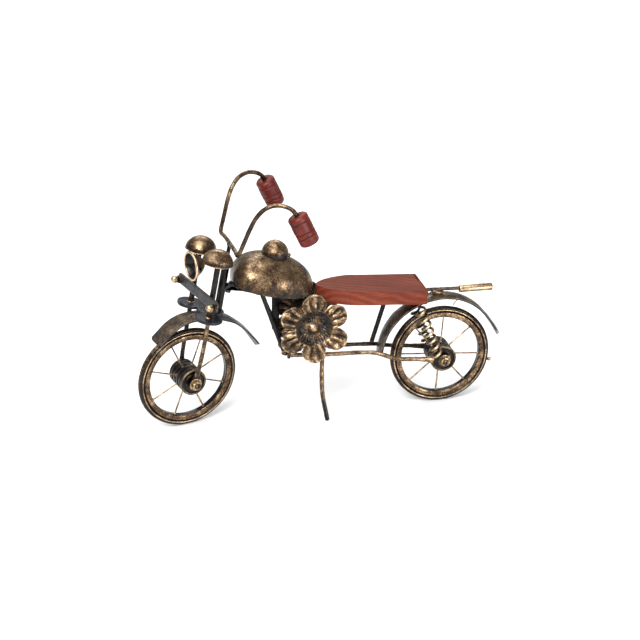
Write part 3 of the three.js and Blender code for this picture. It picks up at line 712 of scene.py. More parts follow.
def circle_crossings(first, second, radius):
    """Where two circles of the same radius cross, in the order right then left of the line between them."""
    first, second = np.asarray(first, float), np.asarray(second, float)
    between = second - first
    half = np.linalg.norm(between) / 2
    rise = math.sqrt(radius ** 2 - half ** 2)
    across = np.array([between[1], -between[0]]) / (2 * half)
    centre = (first + second) / 2
    return centre + across * rise, centre - across * rise


def arc(centre, radius, start, end, count):
    """Points from one point to another, anticlockwise round the centre."""
    a0 = math.atan2(start[1] - centre[1], start[0] - centre[0])
    a1 = math.atan2(end[1] - centre[1], end[0] - centre[0])
    if a1 < a0:
        a1 += 2 * math.pi
    angles = np.linspace(a0, a1, count, endpoint=False)
    return np.stack([centre[0] + radius * np.cos(angles), centre[1] + radius * np.sin(angles)], 1)


def fork_crown():
    """A plate of three overlapping discs, one round each leg and one at the middle."""
    low, high = extent("fork_crown", fork)
    r = 0.5 * (high[1] - low[1] - 2 * LEG_Y)
    middle_disc = (high[0] - r, 0.0)
    left = (low[0] + r, -LEG_Y)
    right = (low[0] + r, LEG_Y)
    right_rear, right_front = circle_crossings(middle_disc, right, r)
    left_front, left_rear = circle_crossings(middle_disc, left, r)
    outline = np.vstack([
        arc(middle_disc, r, left_rear, right_rear, 20), arc(right, r, right_rear, right_front, 46),
        arc(middle_disc, r, right_front, left_front, 14), arc(left, r, left_front, left_rear, 46)])
    plate = slab(outline, low[2], high[2], 0.45, -0.3)
    return plate.uneven(0.35, 9, 4)


def fork_dome(node, seed):
    """A pressed half ball over the top of a leg, with a rough lip."""
    low, high = extent(node, fork)
    r = 0.5 * (high[0] - low[0])
    height = high[2] - low[2]
    wall = 1.1
    angles = np.linspace(0, np.pi / 2, 26)
    outside = np.stack([r * np.sin(angles), height * np.cos(angles)], 1)
    inside = np.stack([(r - wall) * np.sin(angles), (height - wall) * np.cos(angles)], 1)[::-1]
    lip = [(r + 0.1, -0.15), (r - 0.1, -0.5), (r - wall, -0.35)]
    profile = np.vstack([outside, lip, inside])
    # The inside, under the dome, is painted dark as painted shade; the lip is rubbed brighter.
    shades = np.concatenate([np.zeros(len(outside) - 4), np.full(4, -0.12), np.full(3, 0.15),
                             np.full(len(inside), -0.7)])
    shape = lathe(profile, 72, shades)
    upright = Matrix.Translation(((low[0] + high[0]) / 2, (low[1] + high[1]) / 2, low[2] + 0.5))
    shape = shape.placed(upright @ Matrix.Rotation(math.pi / 2, 4, "X"))
    rag = np.clip(1 - (shape.points[:, 2] - low[2]) / 2.2, 0, 1)
    rough = shape.uneven(0.5, 2.2, seed)
    shape.points += (rough.points - shape.points) * rag[:, None]
    return shape.uneven(0.3, 9, seed + 1)


def headlamp():
    """A deep bowl with a thick rolled rim, painted dark inside as painted shade, with a bright boss at the
    bottom of it.
    """
    low, high = extent("headlamp_bowl", lamp_place)
    r = 0.5 * (high[1] - low[1])
    depth = high[0] - low[0]
    outside = [(0.01, 0, 0), (3.2, 0.4, 0), (5.5, 2.4, 0), (7.3, 5.2, 0), (8.9, 7.6, -0.1),
               (r - 0.5, depth - 1.8, -0.2)]
    rim = [(r - 0.2, depth - 1.5, 0.1), (r, depth - 0.8, 0.25), (r - 0.35, depth - 0.1, 0.3),
           (r - 1.1, depth, 0.3), (r - 1.7, depth - 0.4, 0.1), (r - 1.8, depth - 1.2, -0.4)]
    # The inside is painted dark as painted shade.
    inside = [(8.0, 7.6, -0.8), (6.3, 5.6, -0.8), (4.9, 3.6, -0.8), (3.4, 2.2, -0.7), (2.7, 1.9, -0.5)]
    boss = [(2.4, 2.6, 0.0), (1.9, 3.7, 0.1), (1.0, 4.3, 0.15), (0.01, 4.4, 0.15)]
    profile = rounded([*outside, *rim, *inside, *boss], 0.8, 3)
    shape = lathe(profile[:, :2], 72, profile[:, 2])
    facing = Matrix.Translation((high[0], (low[1] + high[1]) / 2, (low[2] + high[2]) / 2))
    return shape.placed(facing @ Matrix.Rotation(math.pi / 2, 4, "Z")).uneven(0.25, 6, 8)


def signal_bar():
    low, high = extent("signal_bar", signals)
    half = 0.5 * (high[2] - low[2])
    centre_z = 0.5 * (high[2] + low[2])
    corners = [(low[1], -half), (high[1], -half), (high[1], half), (low[1], half)]
    outline = rounded(corners, 2.6, 6, closed=True)
    plate = slab(outline, low[0], high[0], 0.35, -0.12)
    upright = Matrix.Translation((0, 0, centre_z)) @ FACING_FRONT
    return plate.placed(upright).uneven(0.3, 9, 12)


def signal_bullet(node, seed):
    """A short stub with a bright rounded nose and a dark collar."""
    low, high = extent(node, signals)
    r = 0.5 * (high[2] - low[2])
    reach = high[0] - low[0]
    y, z = 0.5 * (low[1] + high[1]), 0.5 * (low[2] + high[2])
    profile = [(0.01, 0, -0.3), (r * 1.1, 0, -0.4), (r * 1.1, 0.7, -0.4), (r * 0.8, 0.9, -0.6),
               (r * 0.78, 2.0, -0.5), (r, 2.4, 0.1), (r, reach - r, 0.15)]
    for a in np.linspace(0.25, 1, 6) * np.pi / 2:
        profile.append((max(0.01, r * math.cos(a)), reach - r + r * math.sin(a), 0.22))
    profile = rounded(profile, 0.3, 2)
    shape = lathe(profile[:, :2], 36, profile[:, 2])
    facing = Matrix.Translation((high[0], y, z)) @ Matrix.Rotation(math.pi / 2, 4, "Z")
    return shape.placed(facing).uneven(0.2, 2.5, seed)


BAR_R = 1.55
BAR_Z = 98.8                # its middle, where it crosses the stem
GRIP_ENTRY = np.array([29.6, 41.6, 136.0])
GRIP_END = np.array([42.7, 43.4, 118.2])
LEFT_ARM_BEND = 2.6         # how much further back than the right arm
LEFT_ARM_DROP = 1.6


def handlebar():
    """One bar: across the stem, then up each side, over and down into the grips."""
    left, right = arm_points(-1), arm_points(1)
    across = [(-0.4, -24.5, BAR_Z - 0.4), (-0.2, -14, BAR_Z), (-0.2, 14, BAR_Z), (-0.4, 24.5, BAR_Z - 0.4)]
    bar = rod([*left[::-1], *across, *right], BAR_R, side=(1, 0, 0), seed=9, roughness=0.06, wear_and_shading=-0.12)
    return bar + lump((-0.2, 0, BAR_Z - 0.6), (1.9, 2.6, 1.7), 4)


def arm_points(sign):
    rise = [(-0.2, 26.4, 100), (0.6, 27.3, 110), (1.5, 28.6, 120), (3.6, 30.5, 130), (8, 33, 137.4),
            (15, 35.8, 141), (22.3, 38.7, 140.6), (27, 40.7, 138.6)]
    along = (GRIP_END - GRIP_ENTRY) / np.linalg.norm(GRIP_END - GRIP_ENTRY)
    in_grip = [GRIP_ENTRY + along * depth for depth in (1, 4.5, 8)]
    last = len(rise) - 1
    points = []
    for i, p in enumerate([*rise, *in_grip]):
        amount = math.sin(math.pi * i / last) if sign < 0 and i < last else 0
        points.append((p[0] + LEFT_ARM_BEND * amount, sign * p[1], p[2] - LEFT_ARM_DROP * amount))
    return points


GRIP_LENGTH = 21.8
GRIP_R = 7.2
GRIP_GROOVES = (6.2, 9.6, 17.2)


def wooden_grip(seed):
    """A turned handle with chamfered ends and three grooves, from its outer end at y = 0."""
    length, r, groove = GRIP_LENGTH, GRIP_R, GRIP_R - 0.75
    profile = [(0.01, 0), (r - 1.3, 0), (r - 0.4, 0.9)]
    for y in GRIP_GROOVES:
        profile += [(r - 0.05, y - 1.1), (r - 0.1, y - 0.45), (groove, y), (r - 0.1, y + 0.45),
                    (r - 0.05, y + 1.1)]
    profile += [(r - 0.1, length - 1.4), (r - 1.2, length - 0.1), (2.3, length), (1.7, length - 0.6),
                (1.6, length - 4)]
    shades = [-0.4 if abs(p[0] - groove) < 0.01 else 0.0 for p in profile]
    profile = rounded([(p[0], p[1], s) for p, s in zip(profile, shades)], 0.3, 2)
    return lathe(profile[:, :2], 56, profile[:, 2]).uneven(0.3, 6, seed)


GUARD_CROWN = 1.2           # how far the sides of a mudguard drop below its middle
FRONT_GUARD_PATH = [(-45.6, 25.2), (-36.2, 37), (-26.5, 43.3), (-14.8, 46.1), (-2, 46.2), (10, 43.6),
                    (20.6, 38), (30, 30.4), (38.5, 22), (42.4, 17.6)]
REAR_GUARD_PATH = [(39.8, 42), (42.2, 52.5), (46.2, 62), (53.3, 71), (62.5, 78.3), (76, 84), (91, 85.2),
                   (104, 82.2), (114, 76.3), (122.5, 67.4), (129.8, 57.2), (136, 46.4)]


def mudguard(points, half_width, crown, slants, seed, tail_wear_and_shade=0.12):
    """A strip of sheet bent over the wheel, arched across, with rolled edges.
    `slants` says how much further the right edge runs than the left at the start and at the end, and the last
    argument how much bronze shows at the end, where a value below zero paints the end darker as painted
    shade."""
    thickness = 1.2
    path = curve_through([(x, 0, z) for x, z in points], 1.2)
    run = np.linspace(0, 1, len(path))
    length = np.linalg.norm(np.diff(path, axis=0), axis=1).sum()
    across = np.linspace(-1, 1, 15)
    outer, inner = [], []
    for s in across:
        start = max(0.0, -slants[0] * s - slants[0]) / length + (0.012 * abs(s) ** 6)
        end = 1 - max(0.0, -slants[1] * s + slants[1]) / length - (0.012 * abs(s) ** 6)
        at = start + (end - start) * run
        centre = np.stack([np.interp(at, run, path[:, k]) for k in range(3)], 1)
        along = directions(centre)
        out = np.stack([-along[:, 2], np.zeros(len(along)), along[:, 0]], 1)
        rise = -crown * s * s + 0.25 * (abs(s) > 0.9)
        top = centre + out * rise
        top[:, 1] = half_width * s
        outer.append(top)
        inner.append(top - out * thickness)
    rings = np.stack([*outer, *inner[::-1]], 1)
    shape = loft(rings)
    # The top side keeps its bronze most of the way and then moves to the tail's share; the underside is
    # painted dark as painted shade.
    upper = np.interp(np.linspace(0, 1, len(rings)), (0, 0.5, 0.8), (0.12, 0.12, tail_wear_and_shade))
    upper = np.repeat(upper[:, None], len(across), 1)
    lower = np.full((len(rings), len(across)), -0.45)
    shape.wear_and_shading = np.concatenate([upper, lower], 1).ravel()
    return shape.uneven(0.35, 8, seed)


# ---- frame --------------------------------------------------------------------------------------
TANK_TILT = 13.6
TANK_FRONT_SHARE = 0.437    # how far along the tank its widest place is
TANK_RIM = 5                # how far the open edge lies below the widest place


def tank_ring(front, rear, half, height, row, angles):
    """One level of the tank: half an ellipse at the rear, and a blunter half at the front."""
    c, s = np.cos(angles), np.sin(angles)
    blunt = (np.abs(c) ** 3 + np.abs(s) ** 3) ** (-1 / 3)
    reach = np.where(c < 0, blunt, 1.0) * max(math.sin(row), 1e-4)
    x = reach * c * np.where(c < 0, front, rear)
    return np.stack([x, reach * s * half, np.full(len(angles), height * math.cos(row))], 1)


def tank_shell():
    """A fat drop pressed from sheet, open below, its lower edge left rough."""
    low, high = extent("tank_shell", tank_place)
    length = high[0] - low[0]
    front, rear = TANK_FRONT_SHARE * length, (1 - TANK_FRONT_SHARE) * length
    half = 0.5 * (high[1] - low[1])
    height = high[2] - low[2] - TANK_RIM
    wall = 1.1
    edge = math.acos(-TANK_RIM / height)
    angles = np.linspace(0, 2 * np.pi, 128, endpoint=False)
    points, shades = [], []
    # The outside is painted a little darker toward its lower edge, and the rim and the inside darker still,
    # as painted shade.
    for row in np.linspace(0, edge, 40):
        points.append(tank_ring(front, rear, half, height, row, angles))
        shades.append(0.04 - 0.1 * max(0.0, row / edge - 0.82) / 0.18)
    for inset, drop in ((0.1, 0.3), (0.6, 0.45), (wall, 0.2)):
        ring = tank_ring(front - inset, rear - inset, half - inset, height, edge, angles)
        points.append(ring - (0, 0, drop))
        shades.append(-0.3)
    for row in np.linspace(edge, 0, 24):
        points.append(tank_ring(front - wall, rear - wall, half - wall, height - wall, row, angles))
        shades.append(-0.8)
    shape = loft(points, shades)
    shape.points += (low[0] + front, 0, low[2] + TANK_RIM + 0.4)
    shape = shape.uneven(0.4, 16, 2)
    rag = np.clip(1 - (shape.points[:, 2] - low[2]) / 2.5, 0, 1)
    rough = shape.uneven(0.5, 2.4, 6)
    shape.points += (rough.points - shape.points) * rag[:, None]
    return shape


def filler_cap():
    """A small dome set into the top of the tank."""
    low, high = extent("tank_cap", bike)
    r = 0.5 * (high[1] - low[1])
    centre = ((low[0] + high[0]) / 2, 0, high[2] - r)
    angles = np.linspace(0.004, 1.75, 34)
    profile = np.stack([r * np.sin(angles), r * np.cos(angles)], 1)
    # The cap is painted darker toward its base and under its edge, as painted shade.
    shades = np.where(angles > 1.2, -0.5 * (angles - 1.2) / 0.5, 0.05)
    shape = lathe(profile, 72, shades)
    edge_r, edge_y = profile[-1]
    tail = lathe([(edge_r, edge_y), (edge_r - 1.1, edge_y), (0.01, r * 0.75)], 72, -0.7)
    whole = welded(shape + tail)
    upright = Matrix.Translation(centre) @ Matrix.Rotation(math.pi / 2, 4, "X")
    return whole.placed(upright).uneven(0.3, 8, 15)


NECK_FOOT_Z = 98.6          # the lower edge of the web, at the neck tube


def backbone():
    """The plate under the tank, with a web that sweeps forward to the head tube."""
    low, high = extent("backbone", bike)
    slope = math.tan(math.radians(TANK_TILT))
    lean_back = up_the_fork[0] / up_the_fork[2]
    top_x = low[0] + lean_back * (high[2] - low[2])

    def rim(x):
        return high[2] - slope * (x - top_x)

    start, pull, foot = (-57, rim(-57) - 2.6), (-65, rim(-65) - 0.9), (low[0] + 2.2, NECK_FOOT_Z + 2.5)
    corners = [(top_x, rim(top_x)), (high[0], rim(high[0])), (high[0], rim(high[0]) - 3.3)]
    for t in np.linspace(0, 1, 10):
        shares = ((1 - t) ** 2, 2 * t * (1 - t), t ** 2)
        corners.append([shares[0] * a + shares[1] * b + shares[2] * c for a, b, c in zip(start, pull, foot)])
    corners += [(low[0] + 1.0, NECK_FOOT_Z), (low[0] + 0.6, NECK_FOOT_Z)]
    outline = rounded(np.array(corners)[::-1], 0.6, 2, closed=True)
    plate = slab(outline, low[1], high[1], 0.7, -0.25)
    return plate.placed(FACING_SIDE).uneven(0.3, 7, 22)


def petal_reach(offset, size):
    """How far out a petal runs at an angle from its middle line."""
    centre, radius = 0.672 * size, 0.328 * size
    half_span = math.asin(radius / centre)
    if abs(offset) >= half_span - 0.012:
        return 0.56 * size
    return centre * math.cos(offset) + math.sqrt(radius ** 2 - (centre * math.sin(offset)) ** 2)


PETALS = 6
BLOSSOM_GROWTH = 1.05       # its size against the CAD flower
BLOSSOM_SHIFT = (0.2, 0.8)


def flower(node, place, sign, seed):
    """A blossom beaten from sheet: a raised boss, a ribbed dish and six cupped petals."""
    low, high = extent(node, place)
    size = 0.5 * (high[2] - low[2]) * BLOSSOM_GROWTH
    centre_x = (low[0] + high[0]) / 2 + BLOSSOM_SHIFT[0]
    centre_z = (low[2] + high[2]) / 2 + BLOSSOM_SHIFT[1]
    back_y = low[1] if sign > 0 else high[1]
    around = 44 * PETALS
    rows = np.concatenate([[0.004, 0.03, 0.06], np.linspace(0.09, 1, 40)])
    heights_at = [0, 0.05, 0.1, 0.17, 0.24, 0.36, 0.47, 0.53, 0.62, 0.75, 0.9, 1.0]
    heights = [5.6, 5.3, 4.2, 2.2, 1.6, 2.8, 4.6, 5.8, 5.9, 5.2, 5.4, 6.2]
    rng = np.random.default_rng(seed)
    tilt = rng.uniform(-1.0, 1.0, PETALS)
    curl = rng.uniform(-0.6, 1.4, PETALS)
    phase = rng.uniform(0, 2 * np.pi, PETALS)
    points = []
    for row in rows:
        ring = []
        for j in range(around):
            angle = j / around * 2 * np.pi
            which = int(angle / (2 * np.pi / PETALS)) % PETALS
            offset = angle - (which + 0.5) * 2 * np.pi / PETALS
            reach = petal_reach(offset, size)
            inner = 0.5 * size
            r = row * size if row < 0.5 else inner + (reach - inner) * (row - 0.5) / 0.5
            share = r / size
            rise = np.interp(share, heights_at, heights)
            edge = abs(offset) / (np.pi / PETALS)
            out = np.clip((share - 0.5) / 0.5, 0, 1)
            dish = np.clip((share - 0.12) / 0.2, 0, 1) * np.clip((0.5 - share) / 0.15, 0, 1)
            wave = math.cos(offset * 23 + 0.6 * math.sin(phase[which] + 4 * share))
            ribs = 0.75 * wave * math.sin(math.pi * out) ** 0.7
            fine = 0.22 * math.cos(angle * 31 + 2 * math.sin(3 * angle)) * dish
            cup = (1.1 + 0.8 * curl[which]) * edge ** 2 * out
            lean = tilt[which] * (offset / (np.pi / PETALS)) * out
            ring.append((r * math.cos(angle), rise + ribs + fine + cup + lean, r * math.sin(angle)))
        points.append(ring)
    top = np.array(points)
    shape = loft(top, ends=False)
    cap = Shape(top[0], [list(range(around))])
    sheet = welded(shape + cap)
    sheet = thickened(sheet, 1.1)
    radius = np.linalg.norm(sheet.points[:, [0, 2]], axis=1) / size
    wear_at = [0, 0.12, 0.2, 0.3, 0.42, 0.52, 0.7, 1]
    sheet.wear_and_shading = np.interp(radius, wear_at, [0.25, 0.15, -0.25, -0.3, -0.15, 0.02, 0.05, 0.15])
    if sign < 0:
        sheet = sheet.placed(Matrix.Rotation(math.pi, 4, "Z"))
    sheet = sheet.placed(Matrix.Translation((centre_x, back_y, centre_z)))
    return sheet.uneven(0.5, 5, seed)


def thickened(shape, thickness):
    """Gives a sheet its thickness, centred on the sheet."""
    mesh = bpy.data.meshes.new("sheet")
    mesh.from_pydata(shape.points.tolist(), [], shape.faces)
    build = bmesh.new()
    build.from_mesh(mesh)
    bmesh.ops.recalc_face_normals(build, faces=build.faces)
    build.to_mesh(mesh)
    build.free()
    holder = bpy.data.objects.new("sheet", mesh)
    bpy.context.scene.collection.objects.link(holder)
    solid = holder.modifiers.new("thickness", "SOLIDIFY")
    solid.thickness = thickness
    solid.offset = 0
    bpy.context.view_layer.update()
    done = holder.evaluated_get(bpy.context.evaluated_depsgraph_get()).to_mesh()
    points = np.array([v.co for v in done.vertices])
    faces = [list(p.vertices) for p in done.polygons]
    bpy.data.objects.remove(holder)
    bpy.data.meshes.remove(mesh)
    return Shape(points, faces)


SEAT_TILT = 3.3


def seat_plank():
    """A sawn plank with a rounded nose and softened edges."""
    low, high = extent("seat", seat_place)
    front, rear = low[0], high[0]
    w = high[1]
    nose = []
    for t in np.linspace(0, 1, 16):
        x = (1 - t) ** 2 * front + 2 * t * (1 - t) * (front + 8) + t ** 2 * (front + 28)
        y = (1 - t) ** 2 * 2 + 2 * t * (1 - t) * (w - 3) + t ** 2 * w
        nose.append((x, y))
    right = [*nose, *[(x, w) for x in np.linspace(front + 32, rear - 3, 12)]]
    corner = rounded([(rear - 3, w), (rear, w), (rear, 0)], 2.4, 5)[:-1]
    half = np.vstack([right[:-1], corner])
    outline = np.vstack([half * (1, -1), [(rear, y) for y in np.linspace(-w + 3, w - 3, 12)], half[::-1]])
    plank = slab(outline, low[2], high[2], 0.55, 0.0)
    return plank.uneven(0.25, 14, 31)


COIL_R = 3.5
COIL_WIRE_R = 1.0
COIL_TURNS = 7


def spring(top, bottom, coil_r, wire_r, turns, seed):
    """A coil of round wire, painted lighter on its outer side and darker on the side of the wheel, as painted
    light and shade.
    """
    top, bottom = np.asarray(top, float), np.asarray(bottom, float)
    up = (top - bottom) / np.linalg.norm(top - bottom)
    side = np.array([0.0, 1.0, 0.0])
    third = np.cross(up, side)
    share = np.linspace(0, 1, turns * 26)
    angle = 2 * np.pi * turns * share
    swell = coil_r * (1 - 0.4 * np.clip((share - 0.97) / 0.03, 0, 1))
    path = bottom + np.outer(share, top - bottom) + np.outer(swell * np.cos(angle), side)
    path = path + np.outer(swell * np.sin(angle), third)
    along = directions(path)
    out = np.outer(np.cos(angle), side) + np.outer(np.sin(angle), third)
    out = out - (out * along).sum(1)[:, None] * along
    out = out / np.linalg.norm(out, axis=1)[:, None]
    other = np.cross(along, out)
    section = np.linspace(0, 2 * np.pi, 12, endpoint=False)
    rings = [p + wire_r * (np.outer(np.cos(section), o) + np.outer(np.sin(section), q))
             for p, o, q in zip(path, out, other)]
    # Painted light and shade: the outer side of each turn is lighter and the side toward the wheel darker.
    facing = np.cos(angle) * np.sign(top[1])
    return loft(rings, 0.35 * facing - 0.12).uneven(0.08, 3, seed)


def side_rail(sign):
    """The long bar from the cradle to the rear axle, its end beaten flat."""
    y, eye_y = sign * 8, sign * EYE_Y

    def section(s):
        near = max(0.0, (s - 0.88) / 0.12)
        return 1 + 0.5 * near, 1 - 0.4 * near

    # The right rail, on the far side, is painted darker than the left as painted shade.
    bar = rod([(-25.5, y, 49.4), (0, y, 47.9), (34, y, 46.4), (42, sign * 10.2, 44.8), (51, sign * 12.6, 42),
               (66, sign * 12.6, 40.4), (REAR_AXLE_X - 6, eye_y, 38.6)], 1.6, flat=section, seed=13 + sign,
              roughness=0.09, wear_and_shading=-0.1 - 0.15 * sign)
    return bar + flattened_end((REAR_AXLE_X, eye_y, WHEEL_R), (-9, 1.5), 15 + sign)


def tail_pipe():
    """A short tube on the end of the tail rod, open at the back."""
    low, high = extent("tail_pipe", bike)
    r = 0.5 * (high[1] - low[1])
    length = high[0] - low[0]
    profile = [(0.01, 0, 0), (r - 0.5, 0, 0.1), (r, 0.5, 0.15), (r, length - 0.4, 0.1),
               (r - 0.3, length, 0.2), (r - 0.9, length - 0.1, -0.2), (r - 1.0, length - 1.2, -0.8),
               (0.01, length - 1.3, -0.8)]
    profile = rounded(profile, 0.3, 2)
    shape = lathe(profile[:, :2], 40, profile[:, 2])
    lie = Matrix.Translation((low[0], (low[1] + high[1]) / 2, (low[2] + high[2]) / 2))
    return shape.placed(lie @ Matrix.Rotation(-math.pi / 2, 4, "Z")).uneven(0.25, 4, 41)


def neck_tube():
    """The upright tube that the stem turns in, its ends open."""
    low, high = extent("head_tube", steering)
    r = 0.25 * (high[0] - low[0] + high[1] - low[1])
    length = high[2] - low[2]
    profile = [(r - 1.0, 0), (r - 0.3, 0), (r, 0.4), (r, length - 0.4), (r - 0.3, length),
               (r - 1.0, length), (r - 1.0, 0)]
    shape = lathe(rounded(profile, 0.3, 2), 40, -0.05)
    start = (low + high) / 2
    start[2] = low[2]
    return shape.placed(Matrix.Translation(start) @ Matrix.Rotation(math.pi / 2, 4, "X"))


def weld_bead(name, place, centre, size, body, seed):
    piece(name, lump(centre, size, seed), place, body, "antique_bronze")


tank_place = turned_about(bike, "Y", TANK_TILT)
seat_place = turned_about(bike, "Y", SEAT_TILT)
lamp_place = turned_about(fork, "Y", -math.degrees(math.atan2(up_the_fork[0], up_the_fork[2])))
signals = set_square(fork.translation, middle("signal_ball_right") - middle("signal_ball_left"), up_the_fork)


def make_wheels():
    wheel("front", front_wheel)
    wheel("rear", rear_wheel)
    axle_set("front", front_wheel, "fork")
    axle_set("rear", rear_wheel, "frame")


def make_fork():
    dome_high = extent("fork_dome_left", fork)[1]
    crown_high = extent("fork_crown", fork)[1]
    for side, sign in SIDES:
        leg = f"fork_leg_{side}"
        shape = fork_leg(sign, crown_high[2], dome_high[2] - 2.2)
        piece(f"forged_leg_{side}", shape, fork, "fork", "antique_bronze", [leg])
        dome = f"fork_dome_{side}"
        piece(f"pressed_dome_{side}", fork_dome(dome, 3 + sign), fork, "fork", "antique_bronze", [dome])
        ball = f"signal_ball_{side}"
        bullet = signal_bullet(ball, 6 + sign)
        piece(f"signal_bullet_{side}", bullet, signals, "fork", "antique_bronze", [ball])
    piece("crown_plate", fork_crown(), fork, "fork", "grey_sheet", ["fork_crown"])
    piece("lamp_bowl", headlamp(), lamp_place, "fork", "antique_bronze", ["headlamp_bowl"])
    piece("signal_strip", signal_bar(), signals, "fork", "grey_sheet", ["signal_bar"])
    # The front guard's tail, low behind the wheel, is painted darker as painted shade.
    guard = mudguard(FRONT_GUARD_PATH, 7.9, GUARD_CROWN, (0, 5), 51, -0.3)
    piece("front_guard", guard, fork, "fork", "grey_sheet", ["front_mudguard"])
    low, high = extent("steering_stem", steering)
    stem = rod([(0, 0, low[2]), (0, 0, high[2])], high[0], seed=21)
    piece("stem_rod", stem, steering, "fork", "blackened_iron", ["steering_stem"])
    piece("bent_bar", handlebar(), bars, "fork", "antique_bronze", ["handlebar"])
    for side, sign in SIDES:
        end = Vector((GRIP_END[0], sign * GRIP_END[1], GRIP_END[2]))
        entry = Vector((GRIP_ENTRY[0], sign * GRIP_ENTRY[1], GRIP_ENTRY[2]))
        turn = (entry - end).to_track_quat("Y", "X").to_matrix().to_4x4()
        place = bars @ Matrix.Translation(end) @ turn
        piece(f"wooden_grip_{side}", wooden_grip(4 + sign), place, "fork", "grip_wood", [f"grip_{side}"])


def make_frame():
    piece("tank", tank_shell(), tank_place, "frame", "antique_bronze", ["tank_shell"])
    piece("filler_cap", filler_cap(), bike, "frame", "antique_bronze", ["tank_cap"])
    piece("neck_web", backbone(), bike, "frame", "grey_sheet", ["backbone"])
    piece("neck_tube", neck_tube(), steering, "frame", "blackened_iron", ["head_tube"])
    piece("plank_seat", seat_plank(), seat_place, "frame", "seat_wood", ["seat"])
    guard = mudguard(REAR_GUARD_PATH, 7.2, GUARD_CROWN, (0, 5.5), 57)
    piece("rear_guard", guard, bike, "frame", "grey_sheet", ["rear_mudguard"])
    for i, (side, sign) in enumerate(SIDES):
        piece(f"side_rail_{side}", side_rail(sign), bike, "frame", "antique_bronze", [f"rail_{side}"])
        node = f"flower_{side}"
        blossom = flower(node, bike, sign, 11 + i)
        piece(f"blossom_{side}", blossom, bike, "frame", "antique_bronze", [node], crease=50)
        top, foot = (67.0, sign * 15.4, 81.2), (82.0, sign * 15.3, 41.8)
        coil = spring(top, foot, COIL_R, COIL_WIRE_R, COIL_TURNS, 3 + i)
        piece(f"coil_{side}", coil, bike, "frame", "antique_bronze", [f"spring_{side}"])
        tube = rod([(-45.5, sign * 4.6, 97), (-30.4, sign * 7, 51.4)], 1.6, seed=33 + i, wear_and_shading=-0.1)
        piece(f"front_tube_{side}", tube, bike, "frame", "blackened_iron", [f"down_tube_{side}"])
    low, high = extent("cradle_plate", bike)
    corners = [(low[1], low[2]), (high[1], low[2]), (high[1], high[2]), (low[1], high[2])]
    plate = slab(rounded(corners, 1.6, 4, closed=True), low[0], high[0], 0.35)
    plate = plate.placed(FACING_FRONT).uneven(0.3, 6, 61)
    piece("cross_plate", plate, bike, "frame", "grey_sheet", ["cradle_plate"])
    brace = rod([(-43.8, 1.5, 92), (-31.5, 2.5, 60.5)], 1.5, seed=36, wear_and_shading=-0.2)
    piece("front_brace", brace, bike, "frame", "blackened_iron")
    corners = [(-37.6, 66), (-32.2, 66), (-31.8, 92.4), (-37.4, 93.4)]
    strap = slab(rounded(corners, 0.8, 3, closed=True), 2.6, 4, 0.3, -0.2)
    piece("inner_strap", strap.placed(FACING_SIDE).uneven(0.3, 6, 63), bike, "frame", "blackened_iron")
    spacer = rod([(-10, -8.3, 70.3), (-10, 8.3, 70.3)], 2.5, side=(1, 0, 0), seed=35)
    piece("blossom_bar", spacer, bike, "frame", "blackened_iron", ["flower_spacer"])
    post = rod([(37.6, 8, 48.2), (48.6, 8, 84.8)], 1.7, seed=37)
    piece("seat_strut", post, bike, "frame", "blackened_iron", ["seat_post"])
    bends = [(-3, -8.6, 45.6), (-3.8, -11.2, 34), (-4, -15, 20), (-1.5, -20.4, 1.5)]
    stand = rod(bends, 1.65, seed=39, roughness=0.1)
    stand.wear_and_shading = stand.wear_and_shading - 0.5 * np.clip((17 - stand.points[:, 2]) / 4, 0, 1)
    piece("prop_stand", stand, bike, "frame", "antique_bronze", ["kickstand"])
    tail = rod([(74, 0, 89.4), (100.4, 0, 88.6)], 1.3, seed=43)
    piece("carrier_rod", tail, bike, "frame", "grey_sheet", ["tail_rod"])
    piece("carrier_tube", tail_pipe(), bike, "frame", "antique_bronze", ["tail_pipe"])


def make_welds():
    low, high = extent("tank_cap", bike)
    weld_bead("weld_cap", bike, (high[0] - 1.2, -3.5, low[2] + 2.2), (2.4, 1.8, 1.5), "frame", 1)
    for i, (side, sign) in enumerate(SIDES):
        weld_bead(f"weld_rail_{side}", bike, (-25, sign * 8, 49.8), (2.6, 2.2, 2.2), "frame", 2 + i)
        weld_bead(f"weld_tube_{side}", bike, (-30.2, sign * 7, 51.5), (2.4, 2.2, 2.4), "frame", 4 + i)
        weld_bead(f"weld_leg_{side}", fork, (LEG_X, sign * LEG_Y, 49.2), (2.7, 2.6, 1.3), "fork", 6 + i)
    weld_bead("weld_stand", bike, (-3, -8.4, 46.6), (2.6, 2.4, 2.2), "frame", 11)
    weld_bead("weld_guard", fork, (-8, 0, 46.9), (4, 3.6, 1.3), "fork", 12)
    weld_bead("weld_tail", bike, (84, 0, 86.8), (5, 2.2, 2.2), "frame", 13)
    weld_bead("weld_tyre", rear_wheel, (38.4, -0.8, -7.4), (1.5, 1.6, 1.3), "rear_wheel", 14)
    whisker = rod([(100, -2, 81.4), (97.5, -2.6, 79), (95.6, -3, 76.8)], 0.35, seed=44, sides=8)
    piece("loose_wire", whisker, bike, "frame", "blackened_iron")


make_wheels()
make_fork()
make_frame()
make_welds()


# ---- camera, light and floor --------------------------------------------------------------------
VIEW_FROM = (-181.46, -896.1, 449.1)      # in the frame of the bike
VIEW_AT = (-3.15, -1.51, 72.31)
LENS = 77.08
SENSOR = 36
WORLD_GLOW = 0.32
LIGHTS_AIM = (0, 0, 0.08)


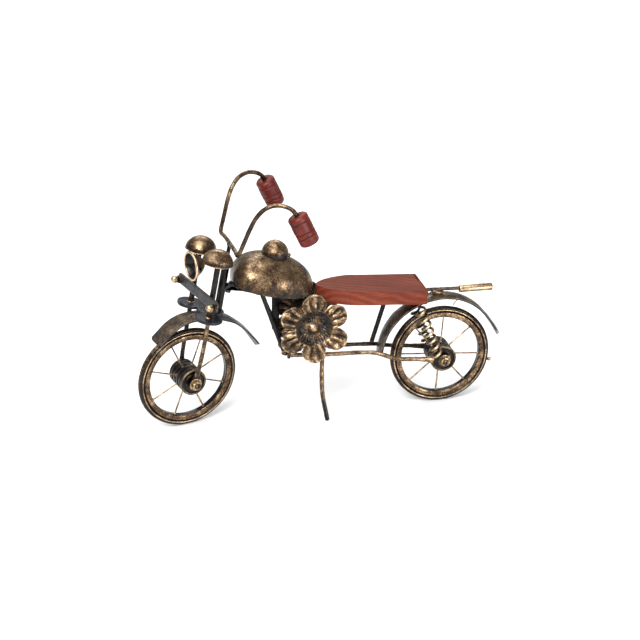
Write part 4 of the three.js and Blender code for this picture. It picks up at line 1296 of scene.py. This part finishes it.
def camera():
    start = bike @ Vector(VIEW_FROM)
    aim = bike @ Vector(VIEW_AT)
    back = (start - aim).normalized()
    right = (bike.to_3x3() @ Vector((0, 0, 1))).cross(back).normalized()
    up = back.cross(right)
    data = bpy.data.cameras.new("camera")
    data.lens = LENS
    data.sensor_width = SENSOR
    data.clip_start = 0.05
    data.clip_end = 50
    made = bpy.data.objects.new("camera", data)
    bpy.context.scene.collection.objects.link(made)
    made.matrix_world = Matrix.Translation(start) @ Matrix((right, up, back)).transposed().to_4x4()
    bpy.context.scene.camera = made


def soft_light(name, place, size, power):
    data = bpy.data.lights.new(name, "AREA")
    data.shape = "RECTANGLE"
    data.size = size[0]
    data.size_y = size[1]
    data.energy = power
    made = bpy.data.objects.new(name, data)
    bpy.context.scene.collection.objects.link(made)
    made.location = place
    made.rotation_mode = "QUATERNION"
    made.rotation_quaternion = (Vector(place) - Vector(LIGHTS_AIM)).to_track_quat("Z", "Y")


def broad_light(toward, strength, spread):
    """An even light on everything from one direction, as from a large window."""
    data = bpy.data.lights.new("broad", "SUN")
    data.energy = strength
    data.angle = math.radians(spread)
    made = bpy.data.objects.new("broad", data)
    bpy.context.scene.collection.objects.link(made)
    made.rotation_mode = "QUATERNION"
    made.rotation_quaternion = Vector(toward).to_track_quat("Z", "Y")


def studio():
    build = bmesh.new()
    bmesh.ops.create_grid(build, x_segments=40, y_segments=40, size=5)
    mesh = bpy.data.meshes.new("floor")
    build.to_mesh(mesh)
    build.free()
    mesh.materials.append(pale_floor())
    floor = bpy.data.objects.new("floor", mesh)
    bpy.context.scene.collection.objects.link(floor)
    world = bpy.data.worlds.new("studio")
    world.use_nodes = True
    backdrop = world.node_tree.nodes["Background"]
    backdrop.inputs["Color"].default_value = (1, 1, 1, 1)
    backdrop.inputs["Strength"].default_value = WORLD_GLOW
    bpy.context.scene.world = world
    broad_light((-0.25, -0.3, 1.0), 2.7, 60)
    soft_light("key", (-0.3, -0.62, 0.62), (0.34, 0.3), 5.5)
    soft_light("fill", (0.5, -0.8, 0.12), (0.25, 0.2), 4)
    soft_light("back", (0.1, 0.7, 0.7), (0.6, 0.2), 2.5)
    bpy.context.scene.view_settings.view_transform = "Standard"


camera()
studio()
